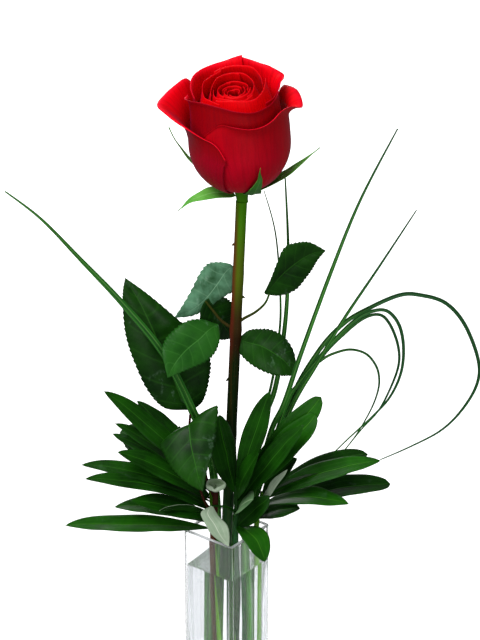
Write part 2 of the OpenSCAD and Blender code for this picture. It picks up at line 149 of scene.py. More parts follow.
def sheet(mesh, P, UV, thick, mats=(0, 1), rim_mat=None):
    """A curved sheet with real thickness. P is (nv, nu, 3) and UV (nv, nu, 2)."""
    nv, nu, _ = P.shape
    du = np.gradient(P, axis=1)
    dv = np.gradient(P, axis=0)
    N = np.cross(du, dv)
    ln = np.linalg.norm(N, axis=2, keepdims=True)
    N = N / np.maximum(ln, 1e-9)
    t = np.broadcast_to(np.asarray(thick, float), (nv, nu))[..., None] / 2
    top, bot = P + N * t, P - N * t
    n = nu * nv
    faces = grid_faces(nu, nv) + grid_faces(nu, nv, n, True)
    m = [mats[0]] * ((nu - 1) * (nv - 1)) + [mats[1]] * ((nu - 1) * (nv - 1))
    edge = [(0, i) for i in range(nu)] + [(j, nu - 1) for j in range(1, nv)] + [(nv - 1, i) for i in range(nu - 2, -1, -1)] + [(j, 0) for j in range(nv - 2, 0, -1)]
    ids = [j * nu + i for j, i in edge]
    k = len(ids)
    for a in range(k):
        p, q = ids[a], ids[(a + 1) % k]
        faces.append((q, p, p + n, q + n))
        m.append(mats[0] if rim_mat is None else rim_mat)
    mesh.add(np.concatenate([top.reshape(-1, 3), bot.reshape(-1, 3)]), faces, np.concatenate([UV.reshape(-1, 2)] * 2), m)


def tube(mesh, q, rad, k=18, mat=0, slant=0.0, cap=(True, True), shape=None):
    """A round stem through the points q with radius rad at each. shape(angle, i) scales it."""
    q = np.asarray(q, float)
    n = len(q)
    rad = np.broadcast_to(np.asarray(rad, float), (n,))
    t = np.gradient(q, axis=0)
    t /= np.linalg.norm(t, axis=1, keepdims=True)
    a = unit(np.cross(t[0], V(0, 1, 0)) if abs(t[0][1]) < 0.9 else np.cross(t[0], V(1, 0, 0)))
    L = np.concatenate([[0], np.cumsum(np.linalg.norm(np.diff(q, axis=0), axis=1))])
    P, U = [], []
    ang = np.arange(k + 1) * 2 * math.pi / k
    for i in range(n):
        a = unit(a - t[i] * np.dot(a, t[i]))
        b = np.cross(t[i], a)
        s = 1.0 if shape is None else np.array([shape(x, i) for x in ang])
        ring = q[i] + (rad[i] * s * np.cos(ang))[:, None] * a + (rad[i] * s * np.sin(ang))[:, None] * b
        if i == 0 and slant:
            ring = ring + t[0] * (slant * (1 + np.cos(ang)) * rad[i])[:, None]
        P.append(ring)
        U.append(np.stack([ang / (2 * math.pi), np.full(k + 1, L[i] / 10)], -1))
    P, U = np.array(P), np.array(U)
    faces = grid_faces(k + 1, n, flip=False)
    verts, uvs = P.reshape(-1, 3), U.reshape(-1, 2)
    m = [mat] * len(faces)
    for end, row in ((0, 0), (1, n - 1)):
        if cap[end]:
            ids = [row * (k + 1) + i for i in range(k)]
            c = len(verts)
            verts = np.concatenate([verts, P[row][:k].mean(0)[None]])
            uvs = np.concatenate([uvs, [[0.5, U[row][0][1]]]])
            for i in range(k):
                x, y = ids[i], ids[(i + 1) % k]
                faces.append((c, y, x) if end == 0 else (c, x, y))
                m.append(mat)
    mesh.add(verts, faces, uvs, m)


# ------------------------------------------------------------------ materials
def rgb(h):
    """sRGB hex to linear."""
    h = h.lstrip("#")
    c = [int(h[i:i + 2], 16) / 255 for i in (0, 2, 4)]
    return tuple((x / 12.92 if x <= 0.04045 else ((x + 0.055) / 1.055) ** 2.4) for x in c) + (1.0,)


class Mat:
    def __init__(self, name):
        self.mat = bpy.data.materials.new(name)
        self.mat.use_nodes = True
        self.t = self.mat.node_tree
        self.t.nodes.clear()
        self.out = self.t.nodes.new("ShaderNodeOutputMaterial")
        self.p = self.t.nodes.new("ShaderNodeBsdfPrincipled")
        self.link(self.p.outputs[0], self.out.inputs[0])

    def link(self, a, b):
        self.t.links.new(a, b)

    def node(self, kind, **kw):
        n = self.t.nodes.new(kind)
        for k, v in kw.items():
            setattr(n, k, v)
        return n

    def sock(self, n, i, x):
        if hasattr(x, "is_output") or isinstance(x, bpy.types.NodeSocket):
            self.link(x, n.inputs[i])
        else:
            n.inputs[i].default_value = x

    def math(self, op, a, b=0.0, clamp=False):
        n = self.node("ShaderNodeMath", operation=op, use_clamp=clamp)
        self.sock(n, 0, a)
        self.sock(n, 1, b)
        return n.outputs[0]

    def ramp(self, x, a, b, lo=0.0, hi=1.0):
        n = self.node("ShaderNodeMapRange", interpolation_type="SMOOTHSTEP")
        self.sock(n, 0, x)
        for i, v in ((1, a), (2, b), (3, lo), (4, hi)):
            n.inputs[i].default_value = v
        return n.outputs[0]

    def mix(self, f, a, b):
        n = self.node("ShaderNodeMix", data_type="RGBA")
        self.sock(n, 0, f)
        self.sock(n, 6, a)
        self.sock(n, 7, b)
        return n.outputs[2]

    def noise(self, scale, detail=3.0, rough=0.5, vec=None, stretch=None):
        n = self.node("ShaderNodeTexNoise")
        n.inputs["Scale"].default_value = scale
        n.inputs["Detail"].default_value = detail
        n.inputs["Roughness"].default_value = rough
        if vec is None:
            vec = self.node("ShaderNodeTexCoord").outputs["Object"]
        if stretch is not None:
            mp = self.node("ShaderNodeMapping")
            mp.inputs["Scale"].default_value = stretch
            self.link(vec, mp.inputs[0])
            vec = mp.outputs[0]
        self.link(vec, n.inputs[0])
        return n.outputs[0]

    def uv(self):
        uv = self.node("ShaderNodeUVMap", uv_map="UVMap")
        s = self.node("ShaderNodeSeparateXYZ")
        self.link(uv.outputs[0], s.inputs[0])
        return s.outputs[0], s.outputs[1], uv.outputs[0]

    def obj(self):
        s = self.node("ShaderNodeSeparateXYZ")
        self.link(self.node("ShaderNodeTexCoord").outputs["Object"], s.inputs[0])
        return s.outputs

    def bump(self, h, strength, dist):
        n = self.node("ShaderNodeBump")
        n.inputs["Strength"].default_value = strength
        n.inputs["Distance"].default_value = dist
        self.link(h, n.inputs["Height"])
        self.link(n.outputs[0], self.p.inputs["Normal"])

    def set(self, **kw):
        for k, v in kw.items():
            self.sock(self.p, k.replace("_", " "), v)


def leaf_material(name, dark, light, vein, rough, veins=True, sheen=0.0, under=False, vein_w=0.05, mottle=0.5, spec=0.5, glint=0.0):
    """UV: x counts side veins along the leaf, y runs 0 to 1 from edge to edge."""
    m = Mat(name)
    x, y, _ = m.uv()
    off = m.math("ABSOLUTE", m.math("SUBTRACT", m.math("MULTIPLY", y, 2.0), 1.0))
    mid = m.ramp(off, vein_w, vein_w * 0.3)
    n1 = m.noise(55, 4, 0.6)
    n2 = m.noise(420, 3, 0.6)
    col = m.mix(m.ramp(n1, 0.5 - mottle / 2, 0.5 + mottle / 2), dark, light)
    h = m.math("MULTIPLY", n2, 0.25)
    if veins:
        ph = m.math("FRACT", m.math("SUBTRACT", x, m.math("MULTIPLY", off, 1.1)))
        d = m.math("ABSOLUTE", m.math("SUBTRACT", ph, 0.5))
        sv = m.math("MULTIPLY", m.ramp(d, 0.09, 0.0), m.ramp(off, 1.0, 0.75))
        puff = m.math("MULTIPLY", m.ramp(d, 0.0, 0.42, 0.0, 0.45), m.ramp(off, 1.05, 0.6))
        col = m.mix(m.math("MULTIPLY", sv, 0.2), col, vein)
        h = m.math("ADD", h, m.math("MULTIPLY", puff, 1.0 if not under else -1.0))
    else:
        ph = m.math("FRACT", m.math("MULTIPLY", off, 3.0))
        d = m.math("ABSOLUTE", m.math("SUBTRACT", ph, 0.5))
        sv = m.ramp(d, 0.10, 0.0)
        col = m.mix(m.math("MULTIPLY", sv, 0.18), col, vein)
        h = m.math("SUBTRACT", h, m.math("MULTIPLY", sv, 0.3))
    if glint:                                    # broken sky shine between the veins
        gl = m.math("MULTIPLY", m.ramp(m.noise(170, 4, 0.7, stretch=(1, 1, 0.7)), 0.52, 0.70), m.ramp(m.noise(40, 2, 0.5), 0.52, 0.64))
        col = m.mix(m.math("MULTIPLY", gl, glint), col, rgb("#8fb09a"))
    col = m.mix(m.math("MULTIPLY", mid, 0.6), col, vein)
    h = m.math("ADD", h, m.math("MULTIPLY", mid, -0.8 if not under else 0.9))
    m.link(col, m.p.inputs["Base Color"])
    m.link(m.math("ADD", m.math("MULTIPLY", n2, 0.18), rough - 0.09), m.p.inputs["Roughness"])
    m.p.inputs["Specular IOR Level"].default_value = spec
    if sheen:
        m.p.inputs["Sheen Weight"].default_value = sheen
        m.p.inputs["Sheen Roughness"].default_value = 0.4
        m.p.inputs["Sheen Tint"].default_value = (0.75, 0.95, 1.0, 1)
    m.bump(h, 0.35, 0.0004)
    return m.mat


def petal_material(name, deep, bright, rim, sub=0.08, rough=0.5, under=False):
    """UV: x 0 to 1 from edge to edge, y 0 at the base to 1 at the rim."""
    m = Mat(name)
    x, y, uvv = m.uv()
    n1 = m.noise(38, 3, 0.55)
    col = m.mix(m.ramp(m.math("ADD", y, m.math("MULTIPLY", m.math("SUBTRACT", n1, 0.5), 0.5)), 0.25, 0.95), deep, bright)
    streak = m.noise(1.0, 3, 0.6, vec=uvv, stretch=(46.0, 2.2, 1.0))
    col = m.mix(m.math("MULTIPLY", m.ramp(streak, 0.35, 0.75), 0.42), col, tuple(c * 0.5 for c in deep[:3]) + (1,))
    # painted highlight: toward the rim each petal is mixed to the lighter rim colour, broken by noise
    col = m.mix(m.math("MULTIPLY", m.ramp(y, 0.95, 1.0), m.ramp(n1, 0.2, 0.8, 0.1, 0.5)), col, rim)
    lw = m.node("ShaderNodeLayerWeight")         # painted sheen: petals seen edge-on turn bluish crimson
    lw.inputs[0].default_value = 0.5
    col = m.mix(m.math("MULTIPLY", m.ramp(lw.outputs["Facing"], 0.66, 0.98), 0.38), col, rgb("#8a0448"))
    m.link(col, m.p.inputs["Base Color"])
    fine = m.noise(900, 3, 0.6)
    h = m.math("ADD", m.math("MULTIPLY", streak, 0.8), m.math("MULTIPLY", fine, 0.25))
    m.p.inputs["Roughness"].default_value = rough
    m.p.inputs["Specular IOR Level"].default_value = 0.06
    m.p.inputs["Sheen Weight"].default_value = 0.03
    m.p.inputs["Sheen Roughness"].default_value = 0.35
    m.p.inputs["Sheen Tint"].default_value = (1.0, 0.25, 0.35, 1)
    m.p.inputs["Subsurface Weight"].default_value = sub
    m.p.inputs["Subsurface Radius"].default_value = (0.004, 0.0006, 0.0006)
    m.p.inputs["Subsurface Scale"].default_value = 1.0
    m.bump(h, 0.25, 0.0005)
    return m.mat


# the third colour of each petal material is its painted rim highlight
PETAL_OUT = petal_material("petal_outer_face", rgb("#b4001c"), rgb("#ac000e"), rgb("#d80c30"))
PETAL_HEART = petal_material("petal_heart_face", rgb("#d0000c"), rgb("#ea000a"), rgb("#f0101c"))
# painted shade: a darker copy of the outer petal colours for the two petals that lie in shade
PETAL_SHADED = petal_material("petal_outer_painted_shade", rgb("#96001a"), rgb("#8e0008"), rgb("#cc0c2c"))
PETAL_IN = petal_material("petal_inner_face", rgb("#b2000c"), rgb("#f60014"), rgb("#ff1c40"))

ROSE_LEAF = leaf_material("rose_leaf_top", rgb("#062204"), rgb("#18440a"), rgb("#2c6418"), 0.36, True, vein_w=0.03, spec=0.09, glint=0.2)
ROSE_LEAF_U = leaf_material("rose_leaf_under", rgb("#274a2a"), rgb("#3c6440"), rgb("#7a9a72"), 0.6, True, under=True, vein_w=0.05, spec=0.1)
ROSE_LEAF_L = leaf_material("rose_leaf_young", rgb("#103c0e"), rgb("#235818"), rgb("#3f7a30"), 0.4, True, vein_w=0.03, spec=0.08, glint=0.3)
ROSE_LEAF_P = leaf_material("rose_leaf_sheen", rgb("#123c14"), rgb("#669878"), rgb("#84b08c"), 0.36, True, vein_w=0.03, spec=0.2, glint=0.5)
SPRIG = leaf_material("sprig_leaf_top", rgb("#082404"), rgb("#144406"), rgb("#2c6416"), 0.36, False, vein_w=0.06, spec=0.07, glint=0.05)
SPRIG_B = leaf_material("sprig_leaf_bright", rgb("#0f3a05"), rgb("#1c5808"), rgb("#3c781a"), 0.36, False, vein_w=0.06, spec=0.08, glint=0.05)
SPRIG_U = leaf_material("sprig_leaf_under", rgb("#3a5a36"), rgb("#5f8058"), rgb("#9ab48e"), 0.6, False, under=True, vein_w=0.08, spec=0.1)
SPRIG_G = leaf_material("sprig_leaf_pale", rgb("#7c9078"), rgb("#a8b8a0"), rgb("#d0dac6"), 0.6, False, vein_w=0.06, spec=0.1)
SEPAL = leaf_material("sepal_face", rgb("#3c8a20"), rgb("#6ab048"), rgb("#98d080"), 0.5, False, vein_w=0.06, spec=0.15)
SEPAL_U = leaf_material("sepal_back", rgb("#1f5a14"), rgb("#3a7a28"), rgb("#6fa856"), 0.5, False, under=True, vein_w=0.06, spec=0.15)


def grass_material():
    """UV: x along the blade in centimetres, y 0 to 1 across."""
    m = Mat("grass_blade")
    x, y, uvv = m.uv()
    z = m.obj()[2]
    stripe = m.noise(1.0, 2, 0.5, vec=uvv, stretch=(0.25, 9.0, 1.0))
    mid = m.ramp(m.math("ABSOLUTE", m.math("SUBTRACT", y, 0.5)), 0.16, 0.04)
    low = m.mix(m.ramp(z, 0.20, 0.33), rgb("#2a6414"), rgb("#184a18"))
    col = m.mix(m.ramp(stripe, 0.35, 0.7), low, rgb("#2f7424"))
    col = m.mix(m.math("MULTIPLY", mid, 0.45), col, rgb("#6fa850"))
    col = m.mix(m.math("MULTIPLY", m.ramp(m.obj()[0], 0.055, 0.10), 0.75), col, rgb("#123c24"))
    m.link(col, m.p.inputs["Base Color"])
    m.p.inputs["Roughness"].default_value = 0.38
    m.p.inputs["Specular IOR Level"].default_value = 0.15
    m.bump(m.math("ADD", stripe, m.math("MULTIPLY", mid, -0.8)), 0.5, 0.0003)
    return m.mat


def stem_material(name, cols, fleck, rough=0.42, blush=None):
    """cols: [(height in metres, colour)], blended up the stem."""
    m = Mat(name)
    z = m.obj()[2]
    n1 = m.noise(60, 3, 0.6, stretch=(1, 1, 0.12))
    zz = m.math("ADD", z, m.math("MULTIPLY", m.math("SUBTRACT", n1, 0.5), 0.02))
    col = cols[0][1]
    for (z0, _), (z1, c) in zip(cols, cols[1:]):
        col = m.mix(m.ramp(zz, z0, z1), col, c)
    if blush:                                    # the sunny side of the stem is redder
        s = m.node("ShaderNodeSeparateXYZ")
        m.link(m.node("ShaderNodeTexCoord").outputs["Normal"], s.inputs[0])
        side = m.math("MULTIPLY", m.ramp(s.outputs[0], -0.1, -0.8), m.math("MULTIPLY", m.ramp(z, 0.29, 0.35), m.ramp(z, 0.43, 0.39)))
        col = m.mix(m.math("MULTIPLY", side, 0.8), col, blush)
    streak = m.noise(900, 3, 0.6, stretch=(1, 1, 0.03))
    col = m.mix(m.math("MULTIPLY", m.ramp(streak, 0.45, 0.75), 0.09), col, fleck)
    spots = m.noise(1300, 2, 0.5)
    col = m.mix(m.math("MULTIPLY", m.ramp(spots, 0.66, 0.74), 0.15), col, tuple(min(1, c * 2.2) for c in fleck[:3]) + (1,))
    m.link(col, m.p.inputs["Base Color"])
    m.p.inputs["Roughness"].default_value = rough
    m.p.inputs["Specular IOR Level"].default_value = 0.05
    m.bump(m.math("ADD", streak, m.math("MULTIPLY", spots, 0.5)), 0.4, 0.0003)
    return m.mat


GRASS = grass_material()
STEM_ROSE = stem_material("rose_stem_skin", [(0.0, rgb("#2f5a28")), (0.20, rgb("#1c401c")), (0.26, rgb("#071603")), (0.31, rgb("#0a1c03")), (0.325, rgb("#241606")), (0.338, rgb("#30220a")), (0.37, rgb("#4c600e")), (0.41, rgb("#3f7c06"))], rgb("#7a4a28"), blush=rgb("#5a1c14"))
STEM_GREEN = stem_material("sprig_stem_skin", [(0.0, rgb("#5a9414")), (0.17, rgb("#5c9c12")), (0.22, rgb("#3f7414"))], rgb("#a8bf6a"))
STEM_DARK = stem_material("upright_stem_skin", [(0.0, rgb("#14442c")), (0.17, rgb("#10401c")), (0.23, rgb("#143410"))], rgb("#5a8050"))
TWIG = stem_material("twig_bark", [(0.0, rgb("#241a06")), (0.18, rgb("#33260a")), (0.205, rgb("#3e2014")), (0.24, rgb("#2c100c"))], rgb("#3a2018"), 0.5)
STALK_R = stem_material("leafstalk_skin", [(0.30, rgb("#1c3408")), (0.335, rgb("#2c280c")), (0.36, rgb("#2a4a10"))], rgb("#7a5230"))
HIP = stem_material("hip_skin", [(0.40, rgb("#3f7c06")), (0.42, rgb("#346c0a"))], rgb("#7a9a3a"), 0.5)


def cut_material():
    m = Mat("pruned_head_skin")
    x, y, uvv = m.uv()
    n1 = m.noise(260, 3, 0.6)
    col = m.mix(m.ramp(y, 0.60, 0.80), rgb("#b4c8ac"), rgb("#8aa87c"))
    col = m.mix(m.ramp(y, 0.02, 0.2), rgb("#5a3a2c"), col)
    col = m.mix(m.math("MULTIPLY", m.ramp(n1, 0.5, 0.7), 0.3), col, rgb("#dfe6d6"))
    m.link(col, m.p.inputs["Base Color"])
    m.p.inputs["Roughness"].default_value = 0.55
    m.bump(n1, 0.4, 0.0004)
    return m.mat


CUT = cut_material()


def stamen_material():
    m = Mat("stamen_skin")
    n1 = m.noise(2500, 2, 0.5)
    m.link(m.mix(n1, rgb("#b07a1c"), rgb("#e8c85a")), m.p.inputs["Base Color"])
    m.p.inputs["Roughness"].default_value = 0.7
    return m.mat


STAMEN = stamen_material()


def clear(name, ior, tint, rough, shadow, straight):
    """Clear glass or water; its shadow is let through softly, as light through clear glass is."""
    m = Mat(name)
    m.t.nodes.remove(m.p)
    g = m.node("ShaderNodeBsdfPrincipled")
    m.p = g
    g.inputs["Base Color"].default_value = tint
    g.inputs["Roughness"].default_value = rough
    g.inputs["IOR"].default_value = ior
    g.inputs["Transmission Weight"].default_value = 1.0
    g.inputs["Specular IOR Level"].default_value = 0.3
    n = m.noise(14, 2, 0.5)
    b = m.node("ShaderNodeBump")
    b.inputs["Strength"].default_value = 0.06
    b.inputs["Distance"].default_value = 0.001
    m.link(n, b.inputs["Height"])
    m.link(b.outputs[0], g.inputs["Normal"])
    tr = m.node("ShaderNodeBsdfTransparent")
    tr.inputs[0].default_value = shadow
    lp = m.node("ShaderNodeLightPath")
    mx = m.node("ShaderNodeMixShader")
    m.link(m.math("MAXIMUM", lp.outputs["Is Shadow Ray"], straight), mx.inputs[0])
    m.link(g.outputs[0], mx.inputs[1])
    m.link(tr.outputs[0], mx.inputs[2])
    m.link(mx.outputs[0], m.out.inputs[0])
    return m.mat


GLASS = clear("vase_glass", 1.5, (0.955, 0.955, 0.98, 1), 0.0, (0.965, 0.965, 0.985, 1), 0.0)


def rim_highlight_glass():
    # painted highlight: a whitish, half-clear glass that makes the rim top read light
    m = Mat("vase_rim_painted_highlight")
    n = m.noise(900, 2, 0.6)
    m.link(m.mix(n, rgb("#e4e9ee"), rgb("#f8fafc")), m.p.inputs["Base Color"])
    m.p.inputs["Roughness"].default_value = 0.35
    m.p.inputs["IOR"].default_value = 1.5
    m.p.inputs["Transmission Weight"].default_value = 0.35
    m.bump(n, 0.2, 0.0002)
    return m.mat


GLASS_RIM_HIGHLIGHT = rim_highlight_glass()
WATER = clear("vase_water", 1.333, (0.97, 0.98, 0.98, 1), 0.0, (0.96, 0.98, 0.97, 1), 0.15)
WATER_TOP = clear("vase_water_surface", 1.333, (0.95, 0.98, 0.96, 1), 0.0, (0.90, 0.955, 0.92, 1), 0.6)

# ------------------------------------------------------------------ vase
TR = math.radians(TURN)


def square_ring(side, r, z, n=8):
    """A rounded square at height z, turned with the vase."""
    r = max(min(r, side / 2 - 0.01), 0.02)
    c = side / 2 - r
    pts = []
    for k, (sx, sy) in enumerate(((1, 1), (-1, 1), (-1, -1), (1, -1))):
        for i in range(n + 1):
            a = math.radians(90 * k + 90 * i / n)
            pts.append((sx * c + r * math.cos(a), sy * c + r * math.sin(a)))
        nx, ny = ((-1, 1), (-1, -1), (1, -1), (1, 1))[k]
        p0, a1 = pts[-1], math.radians(90 * (k + 1))
        p1 = (nx * c + r * math.cos(a1), ny * c + r * math.sin(a1))
        for j in (0.25, 0.5, 0.75):
            pts.append((p0[0] + (p1[0] - p0[0]) * j, p0[1] + (p1[1] - p0[1]) * j))
    pts = np.array(pts)
    x = pts[:, 0] * math.cos(TR) - pts[:, 1] * math.sin(TR)
    y = pts[:, 0] * math.sin(TR) + pts[:, 1] * math.cos(TR)
    return np.stack([x, y, np.full(len(x), z)], -1)


def loft(mesh, prof, mat=None, last=0):
    """prof: [(side, corner radius, z)], closed with a fan at both ends."""
    rings = [square_ring(*p) for p in prof]
    k = len(rings[0])
    verts = np.concatenate(rings)
    faces = []
    for i in range(len(rings) - 1):
        for j in range(k):
            a, b = i * k + j, i * k + (j + 1) % k
            faces.append((a, b, b + k, a + k))
    n = len(verts)
    verts = np.concatenate([verts, rings[0].mean(0)[None], rings[-1].mean(0)[None]])
    mats = [(mat[i] if mat else 0) for i in range(len(rings) - 1) for j in range(k)] + [0, last] * k
    for j in range(k):
        faces.append((n, (j + 1) % k, j))
        faces.append((n + 1, (len(rings) - 1) * k + j, (len(rings) - 1) * k + (j + 1) % k))
    uv = np.stack([verts[:, 0] / 10, verts[:, 2] / 10], -1)
    mesh.add(verts, faces, uv, mats)


def vase():
    s, r = VASE_SIDE, CORNER
    inner = s - 2 * WALL
    ri = 0.9
    prof = [(s - 3.0, r - 1.2, 0.0), (s - 1.4, r - 0.6, 0.05), (s - 0.5, r - 0.2, 0.45), (s, r, 1.4), (s, r, 40), (s, r, 90), (s, r, 140), (s, r, VASE_H - 0.6)]
    for a in range(1, 5):                        # rim with soft arrises; the faces on top take the whitish rim material, a painted highlight
        t = math.radians(90 * a / 4)
        prof.append((s - 1.2 * (1 - math.cos(t)), r - 0.5 * (1 - math.cos(t)), VASE_H - 0.6 + 0.6 * math.sin(t)))
    for a in range(0, 5):
        t = math.radians(90 * a / 4)
        prof.append((inner + 1.2 * (1 - math.sin(t)), ri + 0.4 * (1 - math.sin(t)), VASE_H - 0.6 + 0.6 * math.cos(t)))
    prof += [(inner, ri, VASE_H - 1.3), (inner, ri, 140), (inner, ri, 90), (inner, ri, 40), (inner, ri, FOOT + 2.0), (inner - 0.6, ri, FOOT + 0.9), (inner - 1.8, ri, FOOT + 0.25), (inner - 3.6, ri, FOOT)]
    m = Mesh()
    loft(m, prof, [1 if min(a[2], b[2]) > VASE_H - 0.35 else 0 for a, b in zip(prof, prof[1:])])
    return m.build("vase_glass_body", [GLASS, GLASS_RIM_HIGHLIGHT], "vase", ["vase"], sharp=50)


def water():
    """Fills the vase to WATER_Z, a hair into the glass so there is no false air gap, with a meniscus that climbs the walls."""
    inner = VASE_SIDE - 2 * WALL + 0.10
    ri = 0.95
    prof = [(inner - 3.6, ri, FOOT - 0.05), (inner - 1.8, ri, FOOT + 0.2), (inner - 0.6, ri, FOOT + 0.85), (inner, ri, FOOT + 2.0), (inner, ri, 60), (inner, ri, 120), (inner, ri, WATER_Z + 1.1)]
    for d, dz in ((0.3, 1.0), (0.8, 0.62), (1.5, 0.32), (2.6, 0.12), (4.2, 0.03), (8.0, 0.0), (16.0, 0.0)):
        prof.append((inner - 2 * d, ri, WATER_Z + dz))
    m = Mesh()
    loft(m, prof, [1 if min(a[2], b[2]) > WATER_Z - 1 else 0 for a, b in zip(prof, prof[1:])], 1)
    return m.build("water", [WATER, WATER_TOP], "vase", (), sharp=60)


# ------------------------------------------------------------------ leaves
def leaf_frame(c, roll):
    side = unit(np.cross(c, V(0, 1, 0) if abs(c[2]) > 0.98 else V(0, 0, 1)))
    up0 = unit(np.cross(side, c))
    r = math.radians(roll)
    up = up0 * math.cos(r) + side * math.sin(r)
    return up, np.cross(c, up)


def outline(t, p, q):
    t = np.clip(t, 0, 1)
    return t ** p * (1 - t) ** q / ((p / (p + q)) ** p * (q / (p + q)) ** q)


def leaf(mesh, a, b, w, arch, roll, fold=0.25, p=1.0, q=0.75, teeth=0, tooth=0.8, veins=7.0, thick=0.4, ns=44, nv=13, seed=0,
         curl=0.0, wave=0.6, mats=(0, 1), skew=0.0, tip_pull=0.0, foot=0.6, droop=0.0, cup=0.5):
    """A leaf from a to b. p and q set its outline; teeth is the count of saw teeth a side; skew moves one half of the blade
    along the midrib; droop bends the tip down; cup rounds each half of the blade."""
    rs = np.random.RandomState(seed + 11)
    a, b = np.asarray(a, float), np.asarray(b, float)
    c = unit(b - a)
    L = np.linalg.norm(b - a)
    up, ac = leaf_frame(c, roll)
    if teeth:
        ns = teeth * 6 + 1
    t = np.linspace(0, 1, ns)
    h = w / 2 * outline(t, p, q)
    h = h * (1 - tip_pull * smooth(t, 0.72, 1.0) * (1 - t) / 0.28 * 1.6)
    h = np.maximum(h, np.where(t < 0.5, foot, 0.06))
    mid = a + np.outer(t * L, c) + np.outer(arch * 4 * t * (1 - t) - droop * t ** 3, up) + np.outer(wobble(ns, rs) * curl * t, ac)
    v = np.linspace(-1, 1, nv)
    wl, wr = wobble(ns, rs), wobble(ns, rs)
    P = np.zeros((ns, nv, 3))
    UV = np.zeros((ns, nv, 2))
    for j, x in enumerate(v):
        hh = h.copy()
        if teeth:
            fr = (t * teeth + (0.35 if x > 0 else 0.0)) % 1.0
            saw = np.where(fr < 0.82, fr / 0.82, (1 - fr) / 0.18)
            amp = tooth * np.clip(h / (w / 2), 0, 1) ** 0.5 * smooth(t, 0.03, 0.15)
            hh = hh + amp * (saw - 0.5) * max(0, abs(x) - 0.8) / 0.2
        und = wave * (wl if x < 0 else wr) * x * x * (h / (w / 2))
        lift = fold * hh * (abs(x) - cup * x * x * 0.5) + und
        tt = np.clip(t - skew * x * (1 - t) * 0.5, -0.2, 1)
        m = a + np.outer(tt * L, c) + np.outer(arch * 4 * tt * (1 - tt) - droop * tt ** 3, up) if skew else mid
        P[:, j] = m + np.outer(hh * x, ac) + np.outer(lift, up)
        UV[:, j, 0] = t * veins
        UV[:, j, 1] = (x + 1) / 2
    th = np.outer(np.clip(h / (w / 2) * 1.4, 0.35, 1), 1 - 0.45 * np.abs(v)) * thick
    th[:, nv // 2] = np.maximum(th[:, nv // 2], thick * 1.5)
    sheet(mesh, P, UV, th, mats)


def rail_leaf(mesh, rows, teeth=18, tooth=0.8, fold=0.0, cup=0.6, thick=0.4, ns=None, nv=21, mats=(0, 1), veins=7.0, seed=0, wave=0.4, face=(0, -1, 0.47)):
    """A leaf whose left edge, midrib and right edge are given as points from base to tip."""
    rs = np.random.RandomState(seed + 21)
    rows = np.asarray(rows, float)
    m = teeth * 6
    k = len(rows) - 1
    ns = m + 1
    t = np.linspace(0, k, ns)
    out = np.zeros((3, ns, 3))
    for r in range(3):
        p = rows[:, r]
        for i, x in enumerate(t):
            a = int(min(math.floor(x), k - 1))
            out[r, i] = cr(p[max(a - 1, 0)], p[a], p[a + 1], p[min(a + 2, k)], x - a)
    A, M, B = out
    tt = np.linspace(0, 1, ns)
    v = np.linspace(-1, 1, nv)
    P = np.zeros((ns, nv, 3))
    UV = np.zeros((ns, nv, 2))
    ax = np.gradient(M, axis=0)
    ax /= np.maximum(np.linalg.norm(ax, axis=1, keepdims=True), 1e-9)
    across = B - A
    wd = np.linalg.norm(across, axis=1, keepdims=True)
    an = across / np.maximum(wd, 1e-6)
    up = np.cross(an, ax)
    up /= np.maximum(np.linalg.norm(up, axis=1, keepdims=True), 1e-9)
    for i in range(1, ns):
        if wd[i] < 0.5:
            up[i] = up[i - 1]
            an[i] = an[i - 1]
    wl, wr = wobble(ns, rs), wobble(ns, rs)
    sgn = 1.0 if np.dot(np.cross(across.mean(0), (M[-1] - M[0])), V(*face)) > 0 else -1.0
    wmax = wd.max()
    for j, x in enumerate(v):
        side = A if x < 0 else B
        ax_ = abs(x)
        p = M + (side - M) * ax_
        hw = np.linalg.norm(side - M, axis=1)
        bulge = cup * hw * (ax_ - ax_ * ax_) * 0.5 + wave * (wl if x < 0 else wr) * x * x * np.clip(hw / (wmax / 2), 0, 1)
        p = p + up * (sgn * bulge)[:, None]
        if teeth and ax_ > 0.8:
            fr = (tt * teeth + (0.35 if x > 0 else 0.0)) % 1.0
            saw = np.where(fr < 0.82, fr / 0.82, (1 - fr) / 0.18)
            amp = tooth * np.clip(hw / (wmax / 2), 0, 1) ** 0.5 * smooth(tt, 0.06, 0.2)
            p = p + an * (math.copysign(1, x) * amp * (saw - 0.45) * (ax_ - 0.8) / 0.2)[:, None]
        P[:, j] = p
        UV[:, j, 0] = tt * veins
        UV[:, j, 1] = (x + 1) / 2
    if sgn < 0:
        P, UV = P[:, ::-1], UV[:, ::-1]
    th = np.outer(np.clip(wd[:, 0] / wmax * 1.4, 0.35, 1), 1 - 0.45 * np.abs(v)) * thick
    th[:, nv // 2] = np.maximum(th[:, nv // 2], thick * 1.4)
    sheet(mesh, P, UV, th, mats)


